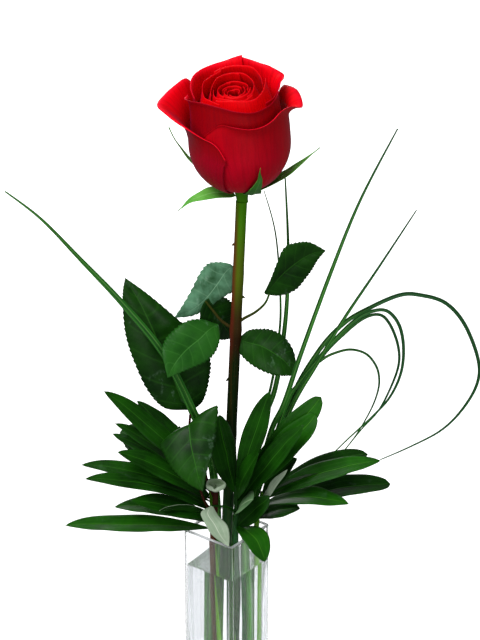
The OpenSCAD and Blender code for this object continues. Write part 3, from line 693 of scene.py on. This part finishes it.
rails = {
    "over_rim": [
        ((-9, -18, 224.5), (-8.5, -18, 224.5), (-8, -18, 224.5)),
        ((-15, -21, 221.5), (-11, -22, 221.5), (-4.5, -22, 220)),
        ((-12, -26, 216), (-7, -26, 216.5), (0.5, -26, 216)),
        ((-8, -29, 210.5), (-3.5, -29, 211), (2, -29, 210.5)),
        ((1.5, -31, 204), (1.5, -31, 204), (1.5, -31, 204))],
    "rose_leaf_left_large": [
        ((-24, 3, 277.5), (-21.5, 3, 278), (-19, 3, 278)),
        ((-36.5, -1, 281), (-26.5, 2, 286), (-13.5, 3, 284)),
        ((-46, -3, 293.5), (-31.5, 1, 301), (-10, 4, 297)),
        ((-53.5, -4, 312.5), (-37.5, 0, 317), (-9.5, 5, 310.5)),
        ((-58, -4, 329), (-43, 0, 332.5), (-17.5, 5, 325)),
        ((-59.5, -3, 345.5), (-49, 0, 347), (-31.5, 4, 339.5)),
        ((-59.5, -1, 356), (-54, 1, 356), (-46, 3, 353.5)),
        ((-58, 2, 363.5), (-58, 2, 363.5), (-58, 2, 363.5))],
    "rose_leaflet_left_top": [
        ((3, 1, 372.5), (4, 2, 371), (5.5, 3, 369)),
        ((-3, 5, 372), (0, 4, 366.5), (6, 4, 361)),
        ((-10, 9, 369.5), (-4.5, 6, 358.5), (5, 5, 354.5)),
        ((-15, 11, 362.5), (-10.5, 8, 349), (-2.5, 7, 348.5)),
        ((-20, 13, 351), (-16.5, 10, 342), (-11.5, 9, 340.5)),
        ((-25.5, 14, 340.5), (-23, 13, 336.5), (-20, 12, 334.5)),
        ((-30.5, 15, 332), (-30.5, 15, 332), (-30.5, 15, 332))],
    "rose_leaflet_left_front": [
        ((-6.5, 2, 334.5), (-4.5, 1.6, 334), (-4, 1, 332.5)),
        ((-13.5, -1, 338.5), (-10, -4, 333), (-3.5, -5, 328)),
        ((-22, -4, 339), (-15.5, -8, 329), (-6, -10, 322)),
        ((-30, -7, 334.5), (-21.5, -12, 325.5), (-11.5, -14, 317.5)),
        ((-35, -12, 330.5), (-26.5, -17, 322), (-19.5, -19, 316)),
        ((-36.5, -18, 325), (-30.5, -21, 317.5), (-27, -22, 314)),
        ((-33.5, -25, 312.5), (-33.5, -25, 312.5), (-33.5, -25, 312.5))],
    "rose_leaflet_right_top": [
        ((22, -4, 357), (22.5, -4, 356), (23.5, -4, 355.5)),
        ((25.5, -7, 366.5), (27, -5, 362), (31.5, -3, 354.5)),
        ((29, -9, 377), (32.5, -6, 369.5), (40, -3, 358)),
        ((33.5, -10, 387.5), (39, -6, 375.5), (45.5, -3, 365)),
        ((41, -10, 391), (45, -6, 380), (49.5, -4, 371.5)),
        ((48, -9, 390.5), (51, -6, 383), (52.5, -5, 377.5)),
        ((57, -6, 384), (57, -6, 384), (57, -6, 384))],
    "rose_leaf_right_low": [
        ((7.5, 0, 326), (7, 0, 325), (7, 0, 323)),
        ((13, 1, 330.5), (13.5, -1, 323.5), (8.5, -3, 317)),
        ((20, 2, 331), (20, -2, 322), (15, -6, 311.5)),
        ((27.5, 2, 330), (26, -2, 318.5), (23.5, -7, 307)),
        ((35, 1, 325), (32, -3, 314.5), (31, -7, 305)),
        ((40, 0, 315.5), (36.5, -3, 309.5), (36, -5, 304)),
        ((41, -4, 303.5), (41, -4, 303.5), (41, -4, 303.5))],
    "twig_leaf_front": [
        ((-25, -9, 263), (-21.5, -9, 266), (-17, -9, 269)),
        ((-38, -14, 264.5), (-21.5, -13, 276), (-5.5, -13, 288.5)),
        ((-36, -20, 259), (-20.5, -21, 267.5), (-5.5, -19, 276.5)),
        ((-30.5, -26, 252.5), (-18, -27, 258), (-7.5, -25, 265.5)),
        ((-22, -31, 246.5), (-16, -31, 250.5), (-11, -30, 254.5)),
        ((-13.5, -33, 242.5), (-13.5, -33, 242.5), (-13.5, -33, 242.5))],
}


left_stem = [(9, -7.5, FT), (0, -7.5, 110), (-8, -6.5, 196), (-8.5, -4, 215), (-10, -5, 235)]
right_stem = [(14, 5, FT), (16.5, 3.5, 110), (18, 1, 196), (19.5, 0.5, 210), (21.5, 0, 224)]
upright_stem = [(7, 1, FT), (6.5, -3, 110), (5.5, -6.5, 196), (6, -7, 210), (6, -7, 232)]
twig = [(-2, -12, FT), (-5, -11.5, 110), (-8, -11, 196), (-7, -13, 212), (-6.2, -14, 232)]

left_leaves = [
    (202, (-96, -14, 209), 15, 2, -15), (205, (-67, -2, 215), 15, 6, -15), (219, (-86, -6, 245), 13, 8, -20),
    (215, (-83, -20, 244), 13, 7, -20), (223, (-68, 12, 257), 12, 5, -20), (226, (-66, 6, 267), 12, 5, -20),
    (221, (-64, -12, 257), 15, 5, -30), (229, (-72, 0, 291), 15, 5, -30), (232, (-53, 10, 280), 13, 4, -30),
    (208, (-56, -22, 230), 14, 3, -30), (211, (-39, -28, 227), 8, 2, 60), (213, (-48, -9, 238), 14, 4, -25)]
right_leaves = [
    (218, (92, 4, 243), 16, 6, 20), (221, (85, 16, 241), 14, 6, 15), (210, (99, 14, 222), 18, 5, 15),
    (214, (73, -8, 220), 17, 6, 10), (205, (44, -8, 217), 14, 3, 20), (222, (42, -6, 250), 12, 2, 50), (214, (36, -16, 248), 4.5, 3, 95)]
upright_leaves = [
    (222, (53, -8, 280), 16, 3, 65), (229, (56, -3, 289), 15, 3, 70), (231, (26, -12, 297), 14, 2, 80),
    (218, (45, -18, 279), 14, 3, 60), (226, (-4, -16, 284), 19, 2, 90), (222, (19, -22, 262), 15, 2, 70),
    (204, (23.5, -31, 194), 17, 6, 0), (212, (16, -22, 231), 17, 2, 40),
    (203, (26, -13, 228), 13, 2, 65)]


def sprig(name, node, stem_pts, rows, body, pale=(), bright=(), blunt=(), flip=(), extra=None):
    """mats: 0 dark top, 1 underside, 2 bright top, 3 pale face."""
    m = Mesh()
    for i, (z, tip, w, arch, roll) in enumerate(rows):
        top = 2 if i in bright else 0
        mm = (3, 0) if i in pale else (top, 1)
        if i in flip:
            mm = mm[::-1]
        leaf(m, on(stem_pts, z), tip, w, arch, roll, q=0.5 if i in blunt else 0.75, seed=i * 7 + len(rows), veins=5, curl=0.8,
             wave=0.7, mats=mm, thick=0.45, nv=15)
    if extra:
        extra(m)
    return m.build(name, [SPRIG, SPRIG_U, SPRIG_B, SPRIG_G], body, [node])


def rim_leaf(m):
    """A folded leaf on a short stalk, hanging forward over the vase rim with its pale face out."""
    q = route([on(upright_stem, 214), (0, -13, 221), (-8.5, -18, 224.5)], 8)
    tube(m, q, np.linspace(0.8, 0.6, len(q)), 12, mat=0)
    rail_leaf(m, rails["over_rim"], teeth=12, tooth=0.12, fold=0.0, mats=(3, 0), veins=5.0, seed=92, wave=0.3)


def sprig_stem(name, node, pts, d0, d1, mat, body="greens"):
    m = Mesh()
    q = route(pts, 10)
    n = len(q)
    r = np.linspace(d0, d1, n) / 2 * (1 + 0.04 * wobble(n, np.random.RandomState(n + int(d0 * 10)), 6))
    tube(m, q, r, 20, slant=0.5)
    return m.build(name, [mat], body, [node], sharp=60)


# ------------------------------------------------------------------ bloom
DRIFT = -1.5


def at(t, u):
    """The table t, a list of rows, at u from -1 to 1."""
    t = np.asarray(t, float)
    x = (np.clip(u, -1, 1) + 1) / 2 * (len(t) - 1)
    i = int(min(math.floor(x), len(t) - 2))
    return cr(t[max(i - 1, 0)], t[i], t[i + 1], t[min(i + 2, len(t) - 1)], x - i)


def rot_bloom(p):
    ax, ay = (math.radians(a) for a in BLOOM_TILT)
    x, y, z = p[..., 0], p[..., 1], p[..., 2]
    y, z = y * math.cos(ax) - z * math.sin(ax), y * math.sin(ax) + z * math.cos(ax)
    x, z = x * math.cos(ay) + z * math.sin(ay), -x * math.sin(ay) + z * math.cos(ay)
    return np.stack([x, y, z], -1) + BLOOM_AT


def petal(mesh, g, nu=49, nv=45, seed=0, curl=1.0, ruffle=0.5, thick=0.45, fade=False):
    """g: radius, narrowing, start of the roll, how far out the two side edges lie, drift, then the rim as rows of bearing, height and roll.
    curl rolls the last of the rim out; ruffle makes it wavy."""
    r, close, start, slip, drift, rim = g
    rs = np.random.RandomState(seed + 3)
    us = np.linspace(-1, 1, nu)
    vs = np.linspace(0, 1, nv) ** 0.8
    wr, wr2 = wobble(nu, rs, 6), wobble(nu, rs, 5)
    th0 = math.asin(3.2 / r)
    mid = (rim[0][0] + rim[-1][0]) / 2
    P = np.zeros((nv, nu, 3))
    UV = np.zeros((nv, nu, 2))
    vb = 0.42
    for j, u in enumerate(us):
        bu, top, lip = at(rim, u)
        top += ruffle * wr[j] * 0.5
        lip += ruffle * wr2[j] * 0.6
        for i, v in enumerate(vs):
            th = th0 + (math.pi / 2 - th0) * min(v / vb, 1)
            k = 0 if v < vb else (v - vb) / (1 - vb)
            s = max(0, (k - start) / (1 - start))
            rise = (top - BOWL) * k
            q = rise / (H - BOWL)
            rad = r * math.sin(th) - r * close * q * q + lip * s * s + (slip[0] + (slip[1] - slip[0]) * (u + 1) / 2) * min(1, 0.75 + v * 3)
            rad += curl * max(0, (k - 0.88) / 0.12) ** 2
            z = BOWL - r * math.cos(th) + rise + 0.1 * max(lip, 0) * 4 * s * (1 - s) - curl * 0.45 * max(0, (k - 0.93) / 0.07) ** 2
            b = math.radians(mid + (bu - mid) * (0.75 + 0.25 * min(1, v * 2)))
            P[i, j] = (rad * math.cos(b) + drift * q * abs(q), rad * math.sin(b), z)
            # fade shortens v towards the left edge so the painted rim highlight stays off that part
            UV[i, j] = ((u + 1) / 2, v * (1 - 0.08 * smooth(-u, 0.5, 0.7)) if fade else v)
    P = rot_bloom(P)
    t = thick * (0.55 + 0.45 * np.linspace(1, 0, nv) ** 0.5)[:, None] * np.ones((1, nu))
    sheet(mesh, P, UV, t, (0, 1))


def ring(r, close, slip, mid, half, heights, drift=DRIFT):
    n = len(heights)
    return (r, close, 0.8, (-slip, slip), drift, [(mid - half + 2 * half * i / (n - 1), h, 0) for i, h in enumerate(heights)])


petals = {
    "petal_guard_front": [(R, 0.12, 0.7, (-1, 1), 0, [(218, 40, -1), (238, 49, -1), (252, 53.5, -0.4), (269, 53, 1.5), (284, 51.5, 2), (298, 51.5, 2), (312, 53, 1.5),
                                                (326, 55.5, 1.5), (340, 55.5, 3.6), (354, 51, 7), (366, 51.5, 7.5), (380, 54.5, 6.7), (396, 54.5, 4)])],
    "petal_flared_left": [(R, 0.06, 0.1, (-1, 1), 0, [(134, 55, 6), (148, 62.5, 5), (161, 61, 8), (174, 59, 12), (187, 57.5, 15.7), (201, 56.5, 13.3), (213, 53, 9.5),
                                                (222, 48, 4.5), (231, 44.5, 1), (241, 43, 0), (249, 40, 0), (256, 33, 0)])],
    "petal_guard_back": [(R, 0.06, 0.5, (-1, 1), 0, [(40, 50, 1), (50, 54, 1.5), (60, 57, 2), (72, 59.5, 3), (84, 61, 3), (97, 61, 3), (109, 60.5, 2.5), (119, 59, 2), (128, 56, 1)])],
    "petal_second_front": [(R - 3, 0.12, 0.6, (1, 1), DRIFT, [(178, 60, 0), (192, 61, 2.2), (206, 62.5, 1.5), (222, 64, 1), (239, 64.3, 0.5), (258, 62.9, 0.3), (275, 60.9, 0.3),
                                                          (294, 59.2, 0.3), (312, 59.7, 0), (329, 61, 0), (346, 63, 0)])],
    "petal_second_right": [(R - 3, 0.12, 0.6, (-1, 1), DRIFT, [(318, 61, 0), (332, 61, 0), (346, 61.5, 0), (360, 62, 1), (372, 62.7, 2.5), (382, 62.3, 5.5), (392, 62.5, 7.5),
                                                          (402, 66.5, 3.5), (414, 67.8, 1.5), (428, 69.5, 0.5), (442, 71.5, 0)])],
    "petal_second_left": [(R - 3, 0.12, 0.6, (-1, -1), DRIFT, [(76, 72, 2), (88, 70, 2.5), (101, 68.2, 2.5), (113, 67.6, 2.5), (126, 67.6, 2), (140, 68, 1.5), (155, 68, 1), (168, 67.5, 1),
                                                         (181, 66, 1), (194, 64.5, 1), (206, 63, 1)])],
    "petals_third_ring": [ring(R - 6.2, 0.31, 1, 300, 66, (62.5, 63.3, 63.5, 62.8, 62.5, 64.2, 66, 66.5)),
                          ring(R - 6.2, 0.31, 1, 60, 66, (66, 68, 69.5, 70, 69.5, 69, 68, 66.5)),
                          ring(R - 6.2, 0.31, 1, 180, 66, (67.5, 66, 65.5, 65.8, 64.8, 62.6, 62.6, 62))],
    "petals_fourth_ring": [ring(R - 9.4, 0.55, 0.9, 15, 66, (62, 62.8, 64.5, 65.8, 67, 67.5, 67)),
                           ring(R - 9.4, 0.55, 0.9, 135, 66, (67.5, 68, 67.5, 67, 66, 64.3, 61.8)),
                           ring(R - 9.4, 0.55, 0.9, 255, 66, (63, 61.5, 61.8, 61.9, 61.5, 61.3, 62.5))],
    "petals_fifth_ring": [ring(R - 12.6, 0.71, 0.9, 50, 66, (63, 63, 62.8, 62.8, 62.6)),
                          ring(R - 12.6, 0.71, 0.9, 170, 66, (62.8, 62.8, 63, 62.6, 62)),
                          ring(R - 12.6, 0.71, 0.9, 290, 66, (61.8, 61.4, 61.6, 62.3, 63.3))],
    "petals_sixth_ring": [ring(R - 15.8, 0.92, 0.9, 95, 66, (61.8, 61.8, 61.6, 61.4, 61.2)),
                          ring(R - 15.8, 0.92, 0.9, 215, 66, (61.4, 61.2, 61, 60.5, 60.2)),
                          ring(R - 15.8, 0.92, 0.9, 335, 66, (60.3, 60.6, 61, 61.6, 61.8))],
    "petals_heart": [ring(R - 19.2, 1.13, 0.8, 30 + a, 64, (h, h + 0.2, h + 0.2, h, h - 0.4)) for a, h in ((0, 60.6), (120, 60.4), (240, 59.6))],
}


def bloom():
    for k, (node, rows) in enumerate(petals.items()):
        m = Mesh()
        for i, g in enumerate(rows):
            petal(m, g, seed=k * 10 + i, curl=1.2 if k < 6 else 0.7, ruffle=0.5 if k < 6 else 0.4, fade=k == 0)
        # petal_second_front and petal_flared_left take the darker copy, painted shade
        m.build(node + "_skin", [PETAL_SHADED if node in ("petal_second_front", "petal_flared_left") else PETAL_HEART if k > 5 else PETAL_OUT, PETAL_IN if k < 6 else PETAL_HEART], "rose", [node])
    m = Mesh()                                   # hip and cone
    prof = [(0, -9), (3.2, -9), (3.3, -7.5), (3.6, -5), (4.1, -2.5), (4.4, -1), (4.2, 0.3), (3.8, 2), (3.7, 12), (3.6, 22), (2.6, 26), (0, 26)]
    pr = route([(x, 0, z) for x, z in prof], 5)[:, (0, 2)]
    n, kk = len(pr), 37
    ang = np.linspace(0, 2 * math.pi, kk)
    P = np.zeros((n, kk, 3))
    for i in range(n):
        P[i] = np.stack([max(pr[i, 0], 0) * np.cos(ang), max(pr[i, 0], 0) * np.sin(ang), np.full(kk, pr[i, 1])], -1)
    P = rot_bloom(P)
    UV = np.zeros((n, kk, 2))
    UV[..., 0] = ang / 6.283
    UV[..., 1] = np.linspace(0, 1, n)[:, None]
    m.add(P.reshape(-1, 3), grid_faces(kk, n), UV.reshape(-1, 2))
    m.build("rose_hip", [HIP], "rose", ["rose_receptacle"])
    m = Mesh()
    for i in range(14):
        a = i * 2.4
        r = 0.6 + 0.9 * (i % 3) / 2
        q = np.array([[r * math.cos(a), r * math.sin(a), 25], [r * 1.2 * math.cos(a), r * 1.2 * math.sin(a), 28.5], [1.35 * r * math.cos(a + 0.2), 1.35 * r * math.sin(a + 0.2), 31 + 0.2 * (i % 4)]])
        tube(m, rot_bloom(route(q, 3)), [0.16] * 7, 8)
        c = rot_bloom(np.array([[1.35 * r * math.cos(a + 0.2), 1.35 * r * math.sin(a + 0.2), z] for z in (31.0, 31.3, 31.8, 32.2, 32.4)]))
        tube(m, c, [0.1, 0.35, 0.42, 0.35, 0.08], 8)
    m.build("stamens", [STAMEN], "rose", ["rose_stamens"])


def sepals_piece():
    m = Mesh()
    rows = [((5, -2, 417), (-27, -12, 411), 10.5, 6, -20), ((12.5, -4.5, 418.5), (20, -35, 446), 9, -6, 0), ((13, -1, 418), (53, -6, 447), 8, -3, 20),
            ((6, 3, 418), (-32, 10, 453), 6, -6, 0), ((11, 4, 418), (26, 34, 426), 8, 3, 0)]
    for i, (a, b, w, arch, roll) in enumerate(rows):
        leaf(m, a, b, w, arch, roll, fold=0.2, p=0.45, q=1.3, seed=40 + i, veins=6, curl=1.2, wave=0.5, thick=0.5, mats=(0, 1), foot=2.2, cup=0.6)
    m.build("sepals", [SEPAL, SEPAL_U], "rose", ["rose_sepals"])


# ------------------------------------------------------------------ rose stem and leaves
def rose_stem_piece():
    z = np.concatenate([np.linspace(FT, 412, 90)])
    q = np.array([on_rose(x) for x in z])
    r = np.full(len(z), 3.2)
    for z0, k, wd in ((331, 0.14, 4.0), (262, 0.08, 4.0), (365, 0.05, 4.0), (150, 0.08, 5.0), (70, 0.08, 5.0)):
        r = r * (1 + k * np.exp(-((z - z0) / wd) ** 2))
    r *= 1 + 0.012 * wobble(len(z), np.random.RandomState(5), 8)
    r[z > 400] *= 1 + 0.03 * (z[z > 400] - 400) / 12
    m = Mesh()
    tube(m, q, r, 28, slant=0.7)
    for z0, ang in ((300, 200), (352, 20), (385, 160), (232, 250), (120, 40), (90, 190)):   # prickles
        a = math.radians(ang)
        d = V(math.cos(a), math.sin(a), 0)
        c = on_rose(z0) + d * 2.8
        tube(m, np.array([c - d * 0.2, c + d * 0.9 + V(0, 0, -0.3), c + d * 1.7 + V(0, 0, -0.9), c + d * 2.2 + V(0, 0, -1.5)]), [1.3, 0.75, 0.35, 0.05], 10)
    m.build("rose_stem_skin", [STEM_ROSE], "rose", ["rose_stem"], sharp=60)


def stalk(name, node, pts, d0, d1, body, mat):
    m = Mesh()
    for p in pts:
        q = route(p, 8)
        tube(m, q, np.linspace(d0, d1, len(q)) / 2, 12)
    m.build(name, [mat], body, [node])


def rose_leaves():
    stalk("leafstalk_left", "rose_leafstalk_left", [[on_rose(331), (-2.5, 2, 336), (-7, 4, 341), (-12, 6, 347)]], 2, 1.2, "rose", STALK_R)
    stalk("leafstalk_low_left", "rose_leafstalk_low_left", [[on_rose(262), (-4, 2, 265), (-12, 4, 270), (-19.5, 3, 277)]], 2, 1.4, "rose", STALK_R)
    stalk("leafstalk_right", "rose_leafstalk_right", [[on_rose(334), (10, -1.5, 339), (17, -3, 344), (22.5, -4, 350), (25, -4, 356)]], 2, 1.2, "rose", STALK_R)
    for i, (node, teeth, mat) in enumerate((
            ("rose_leaf_left_large", 34, ROSE_LEAF), ("rose_leaflet_left_top", 16, ROSE_LEAF_P), ("rose_leaflet_left_front", 20, ROSE_LEAF_L),
            ("rose_leaflet_right_top", 20, ROSE_LEAF), ("rose_leaf_right_low", 20, ROSE_LEAF))):
        m = Mesh()
        rail_leaf(m, rails[node], teeth=teeth, seed=60 + i)
        m.build(node + "_skin", [mat, ROSE_LEAF_U], "rose", [node])
    m = Mesh()
    leaf(m, V(-12, 6.5, 347), (3, 17, 318), 23, 2, 90, fold=0.15, p=0.5, q=0.8, teeth=16, tooth=0.8, veins=7.5, seed=66, thick=0.4, wave=0.8, nv=21)
    m.build("rose_leaflet_left_back_skin", [ROSE_LEAF, ROSE_LEAF_U], "rose", ["rose_leaflet_left_back"])


def twig_pieces():
    sprig_stem("twig_bark_piece", "twig_stem", twig, 3.4, 3.4, TWIG)
    stalk("twig_stalks", "twig_leafstalks", [
        [on(twig, 214), (-13, -11, 224), (-19, -9, 245), (-21.5, -11, 268), (-21, -12, 282)],
        [on(twig, 226), (-11.5, -7, 236), (-14, 1, 249), (-17, 10, 246), (-20, 16, 239)]], 1.6, 1.4, "greens", TWIG)
    m = Mesh()
    rail_leaf(m, rails["twig_leaf_front"], teeth=22, tooth=0.7, seed=81)
    m.build("twig_leaf_front_skin", [ROSE_LEAF, ROSE_LEAF_U], "greens", ["twig_leaf_front"])
    m = Mesh()
    leaf(m, V(-20, 16, 239), (-64, 20, 254), 30, 3, -60, fold=0.15, p=0.5, q=0.7, teeth=18, tooth=1.0, veins=7, seed=82, thick=0.4, wave=1.0, nv=21)
    m.build("twig_leaf_left_skin", [ROSE_LEAF, ROSE_LEAF_U], "greens", ["twig_leaf_left"])
    m = Mesh()                                   # pruned head: a flared cup with a notch
    prof = [(0, 0), (2.1, 0), (3.0, 1.0), (4.7, 2.4), (5.9, 3.6), (6.2, 5.2), (5.9, 6.6), (5.2, 7.1), (4.4, 6.5), (3.4, 5.5), (1.6, 5.1), (0, 5.0)]
    pr = route([(x, 0, z) for x, z in prof], 5)[:, (0, 2)]
    n, kk = len(pr), 61
    ang = np.linspace(0, 2 * math.pi, kk)
    P = np.zeros((n, kk, 3))
    d = (ang - math.radians(262) + math.pi) % (2 * math.pi) - math.pi
    notch = np.exp(-(d / 0.22) ** 2)
    lobes = 1 + 0.05 * np.cos(5 * ang + 0.6)
    for i in range(n):
        f = smooth(pr[i, 1], 3.0, 6.5)
        x = max(pr[i, 0], 0) * (1 + (lobes - 1) * f)
        P[i] = np.stack([x * np.cos(ang), x * np.sin(ang), pr[i, 1] - notch * 2.2 * f], -1)
    P = P * V(0.96, 0.96, 0.75) + V(-6.2, -14, 232.6)
    UV = np.zeros((n, kk, 2))
    UV[..., 0] = ang / 6.283
    UV[..., 1] = np.linspace(0, 1, n)[:, None]
    m.add(P.reshape(-1, 3), grid_faces(kk, n), UV.reshape(-1, 2))
    m.build("pruned_head", [CUT], "greens", ["twig_pruned_head"])


# ------------------------------------------------------------------ grass
GW, GT = 2.2, 0.9
grass = {
    "grass_left_pair": [([(-6, 5, FT), (-6, 6, 110), (-5, 6, 196), (-7, 4, 232), (-11, -3, 257), (-18, -5, 279), (-35, -10, 320), (-58, -12, 353), (-83, -8, 380), (-105, -4, 403), (-125, 0, 418)], GW * 1.1),
                        ([(-9, 4, FT), (-9, 4, 110), (-8, 4, 196), (-9, 2, 232), (-13, -5, 258), (-20.5, -7, 279.5), (-36.5, -13, 320), (-59.5, -14, 353), (-84, -9, 380), (-100, -6, 398)], GW * 0.5)],
    "grass_tall": [([(13, -5, FT), (12, -5, 110), (11, -3.5, 196), (16, -1, 217), (26, 2, 262), (34, -3, 285), (43, -11, 320), (60, -11, 373), (76, -8, 416), (96, -6, 458)], GW)],
    "grass_slanted": [([(14, -3, FT), (13, -2.5, 110), (12, -1.5, 196), (17, 1.5, 217), (37, 4, 275), (54, 2, 310), (69, -1, 340), (88, -3, 373), (108, -6, 409)], GW * 0.8)],
    "grass_upright": [([(2, 12, FT), (3, 11.5, 110), (5, 11, 196), (12, 13.5, 232), (21, 18, 261), (29, 20, 283), (34, 21, 318), (36, 21, 348), (36, 21, 379), (34, 22, 419)], GW)],
    "grass_fine": [([(-3, 13, FT), (-1, 13, 110), (2, 13, 196), (11, 17, 232), (25, 24, 275), (31, 27, 312), (32, 29, 338), (29, 31, 378), (22, 34, 405)], GW * 0.5)],
    "grass_loop_outer": [([(11, -3, FT), (11, -0.5, 110), (12, 0.2, 196), (17, 3, 217), (35, 6, 278), (43, 6, 294), (61, 6, 319), (75, 7, 334), (85, 7, 340), (94, 7, 340), (101, 7, 331), (104, 8, 316), (103, 9, 299), (97, 11, 282), (87, 13, 268), (73, 15, 252), (59, 17, 235)], GW * 0.7)],
    "grass_loop_large": [([(11, 4, FT), (11, 3, 110), (12.5, 2, 196), (17, 5, 217), (37, 8.5, 279), (54, 9, 313), (69, 10, 331), (84, 10, 341), (101, 10, 349), (113, 10, 349), (128, 12, 343), (140, 14, 328), (149, 16, 304), (149, 18, 287), (141, 20, 269), (129, 22, 254), (111, 22, 243), (93, 22, 234)], GW * 0.8)],
    "grass_loop_inner": [([(9, 6, FT), (10, 5, 110), (12, 4, 196), (18, 7, 217), (39, 12, 277), (56, 13, 307), (70, 14, 323), (81, 15, 332), (90, 15, 334), (96, 15, 328), (101, 15, 315), (102, 15, 302), (98, 17, 286), (91, 19, 269), (81, 21, 255), (69, 22, 237)], GW * 0.6)],
    "grass_loop_small": [([(7, 8, FT), (9, 7, 110), (11, 6, 196), (18, 10, 217), (38, 16, 273), (47, 18, 293), (57, 19, 303), (65, 20, 307), (74, 20, 309), (83, 20, 306), (89, 20, 298), (91, 20, 289), (90, 21, 279), (86, 23, 266), (78, 25, 249), (68, 27, 233)], GW * 0.5)],
}


def blade(mesh, p, w):
    q = route(p, 12)
    n = len(q)
    t = np.gradient(q, axis=0)
    t /= np.linalg.norm(t, axis=1, keepdims=True)
    L = np.concatenate([[0], np.cumsum(np.linalg.norm(np.diff(q, axis=0), axis=1))])
    P = np.zeros((n, 5, 3))
    UV = np.zeros((n, 5, 2))
    for i in range(n):
        a = unit(np.cross(t[i], V(0, 1, 0)))
        b = np.cross(t[i], a)
        s = 1 - 0.8 * (i / (n - 1)) ** 3
        h = w * s * 0.8
        for j, x in enumerate((-1, -0.5, 0, 0.5, 1)):
            P[i, j] = q[i] + a * h * x + b * (0.42 * h * abs(x) - 0.15 * h)
            UV[i, j] = (L[i] / 10, (x + 1) / 2)
    sheet(mesh, P, UV, 0.32, (0, 0))


def grass_pieces():
    for node, rows in grass.items():
        m = Mesh()
        for p, w in rows:
            blade(m, p, w)
        m.build(node + "_blade", [GRASS], "greens", [node], sharp=70)


vase()
water()
bloom()
sepals_piece()
rose_stem_piece()
rose_leaves()
sprig_stem("left_stem_skin", "left_sprig_stem", left_stem, 4, 2.4, STEM_GREEN)
sprig_stem("right_stem_skin", "right_sprig_stem", right_stem, 4, 2.4, STEM_GREEN)
sprig_stem("upright_stem_piece", "upright_sprig_stem", upright_stem, 4.4, 2.6, STEM_DARK)
sprig("left_leaves_skin", "left_sprig_leaves", left_stem, left_leaves, "greens", pale=(10,), bright=(0, 1), blunt=())
sprig("right_leaves_skin", "right_sprig_leaves", right_stem, right_leaves, "greens", bright=(0, 3), blunt=(1, 2), pale=(6,))
sprig("upright_leaves_skin", "upright_sprig_leaves", upright_stem, upright_leaves, "greens", bright=(0, 1, 6), blunt=(0, 1, 7), flip=(4, 7), extra=rim_leaf)
twig_pieces()
grass_pieces()

# ------------------------------------------------------------------ floor, light, camera
me = bpy.data.meshes.new("floor")
S = 60.0
me.from_pydata([(-S, -S, 0), (S, -S, 0), (S, S, 0), (-S, S, 0)], [], [(0, 1, 2, 3)])
floor = bpy.data.objects.new("floor", me)
bpy.context.scene.collection.objects.link(floor)
fm = Mat("floor_paint")
fm.p.inputs["Base Color"].default_value = (0.96, 0.96, 0.96, 1)
fm.p.inputs["Emission Color"].default_value = (1, 1, 1, 1)
fm.p.inputs["Emission Strength"].default_value = 0.22
fm.p.inputs["Roughness"].default_value = 0.85
fm.p.inputs["Specular IOR Level"].default_value = 0.1
me.materials.append(fm.mat)
floor.visible_diffuse = False
floor.visible_glossy = False

world = bpy.data.worlds.new("studio")
bpy.context.scene.world = world
world.use_nodes = True
world.node_tree.nodes["Background"].inputs[0].default_value = (1, 1, 1, 1)
world.node_tree.nodes["Background"].inputs[1].default_value = 0.28


def area(name, loc, target, size, power, col=(1, 1, 1)):
    d = bpy.data.lights.new(name, "AREA")
    d.shape = "RECTANGLE"
    d.size, d.size_y = size
    d.energy = power
    d.color = col
    o = bpy.data.objects.new(name, d)
    bpy.context.scene.collection.objects.link(o)
    o.location = loc
    v = np.array(target) - np.array(loc)
    from mathutils import Vector
    o.rotation_euler = Vector(v).to_track_quat("-Z", "Y").to_euler()
    return o


sun = bpy.data.lights.new("key", "SUN")
sun.energy = 3.0
sun.angle = math.radians(35)
so = bpy.data.objects.new("key", sun)
bpy.context.scene.collection.objects.link(so)
so.rotation_euler = (math.radians(24), math.radians(-22), 0)
area("fill", (-0.9, -1.0, 0.9), (0, 0, 0.35), (0.5, 0.5), 4)
area("low_fill", (0.35, -1.3, 0.25), (0, 0, 0.4), (0.6, 0.6), 5)
area("back_fill", (-0.4, 1.5, 0.8), (0, 0, 0.35), (0.8, 0.8), 8)

cam = bpy.data.cameras.new("camera")
cam.lens = 140.625
cam.sensor_width = 36
cam.sensor_fit = "VERTICAL"
cam.sensor_height = 36
cam.clip_end = 50
co = bpy.data.objects.new("camera", cam)
bpy.context.scene.collection.objects.link(co)
co.location = (0.00814, -1.31356, 0.95011)
co.rotation_euler = (math.radians(90 - 25), 0, 0)
bpy.context.scene.camera = co
bpy.context.scene.view_settings.view_transform = "Standard"
bpy.context.scene.view_settings.look = "None"
cy = getattr(bpy.context.scene, "cycles", None)
if cy:                                           # clear glass over water needs a few more bounces than the default
    cy.max_bounces, cy.glossy_bounces, cy.transmission_bounces, cy.transparent_max_bounces = 24, 12, 24, 12
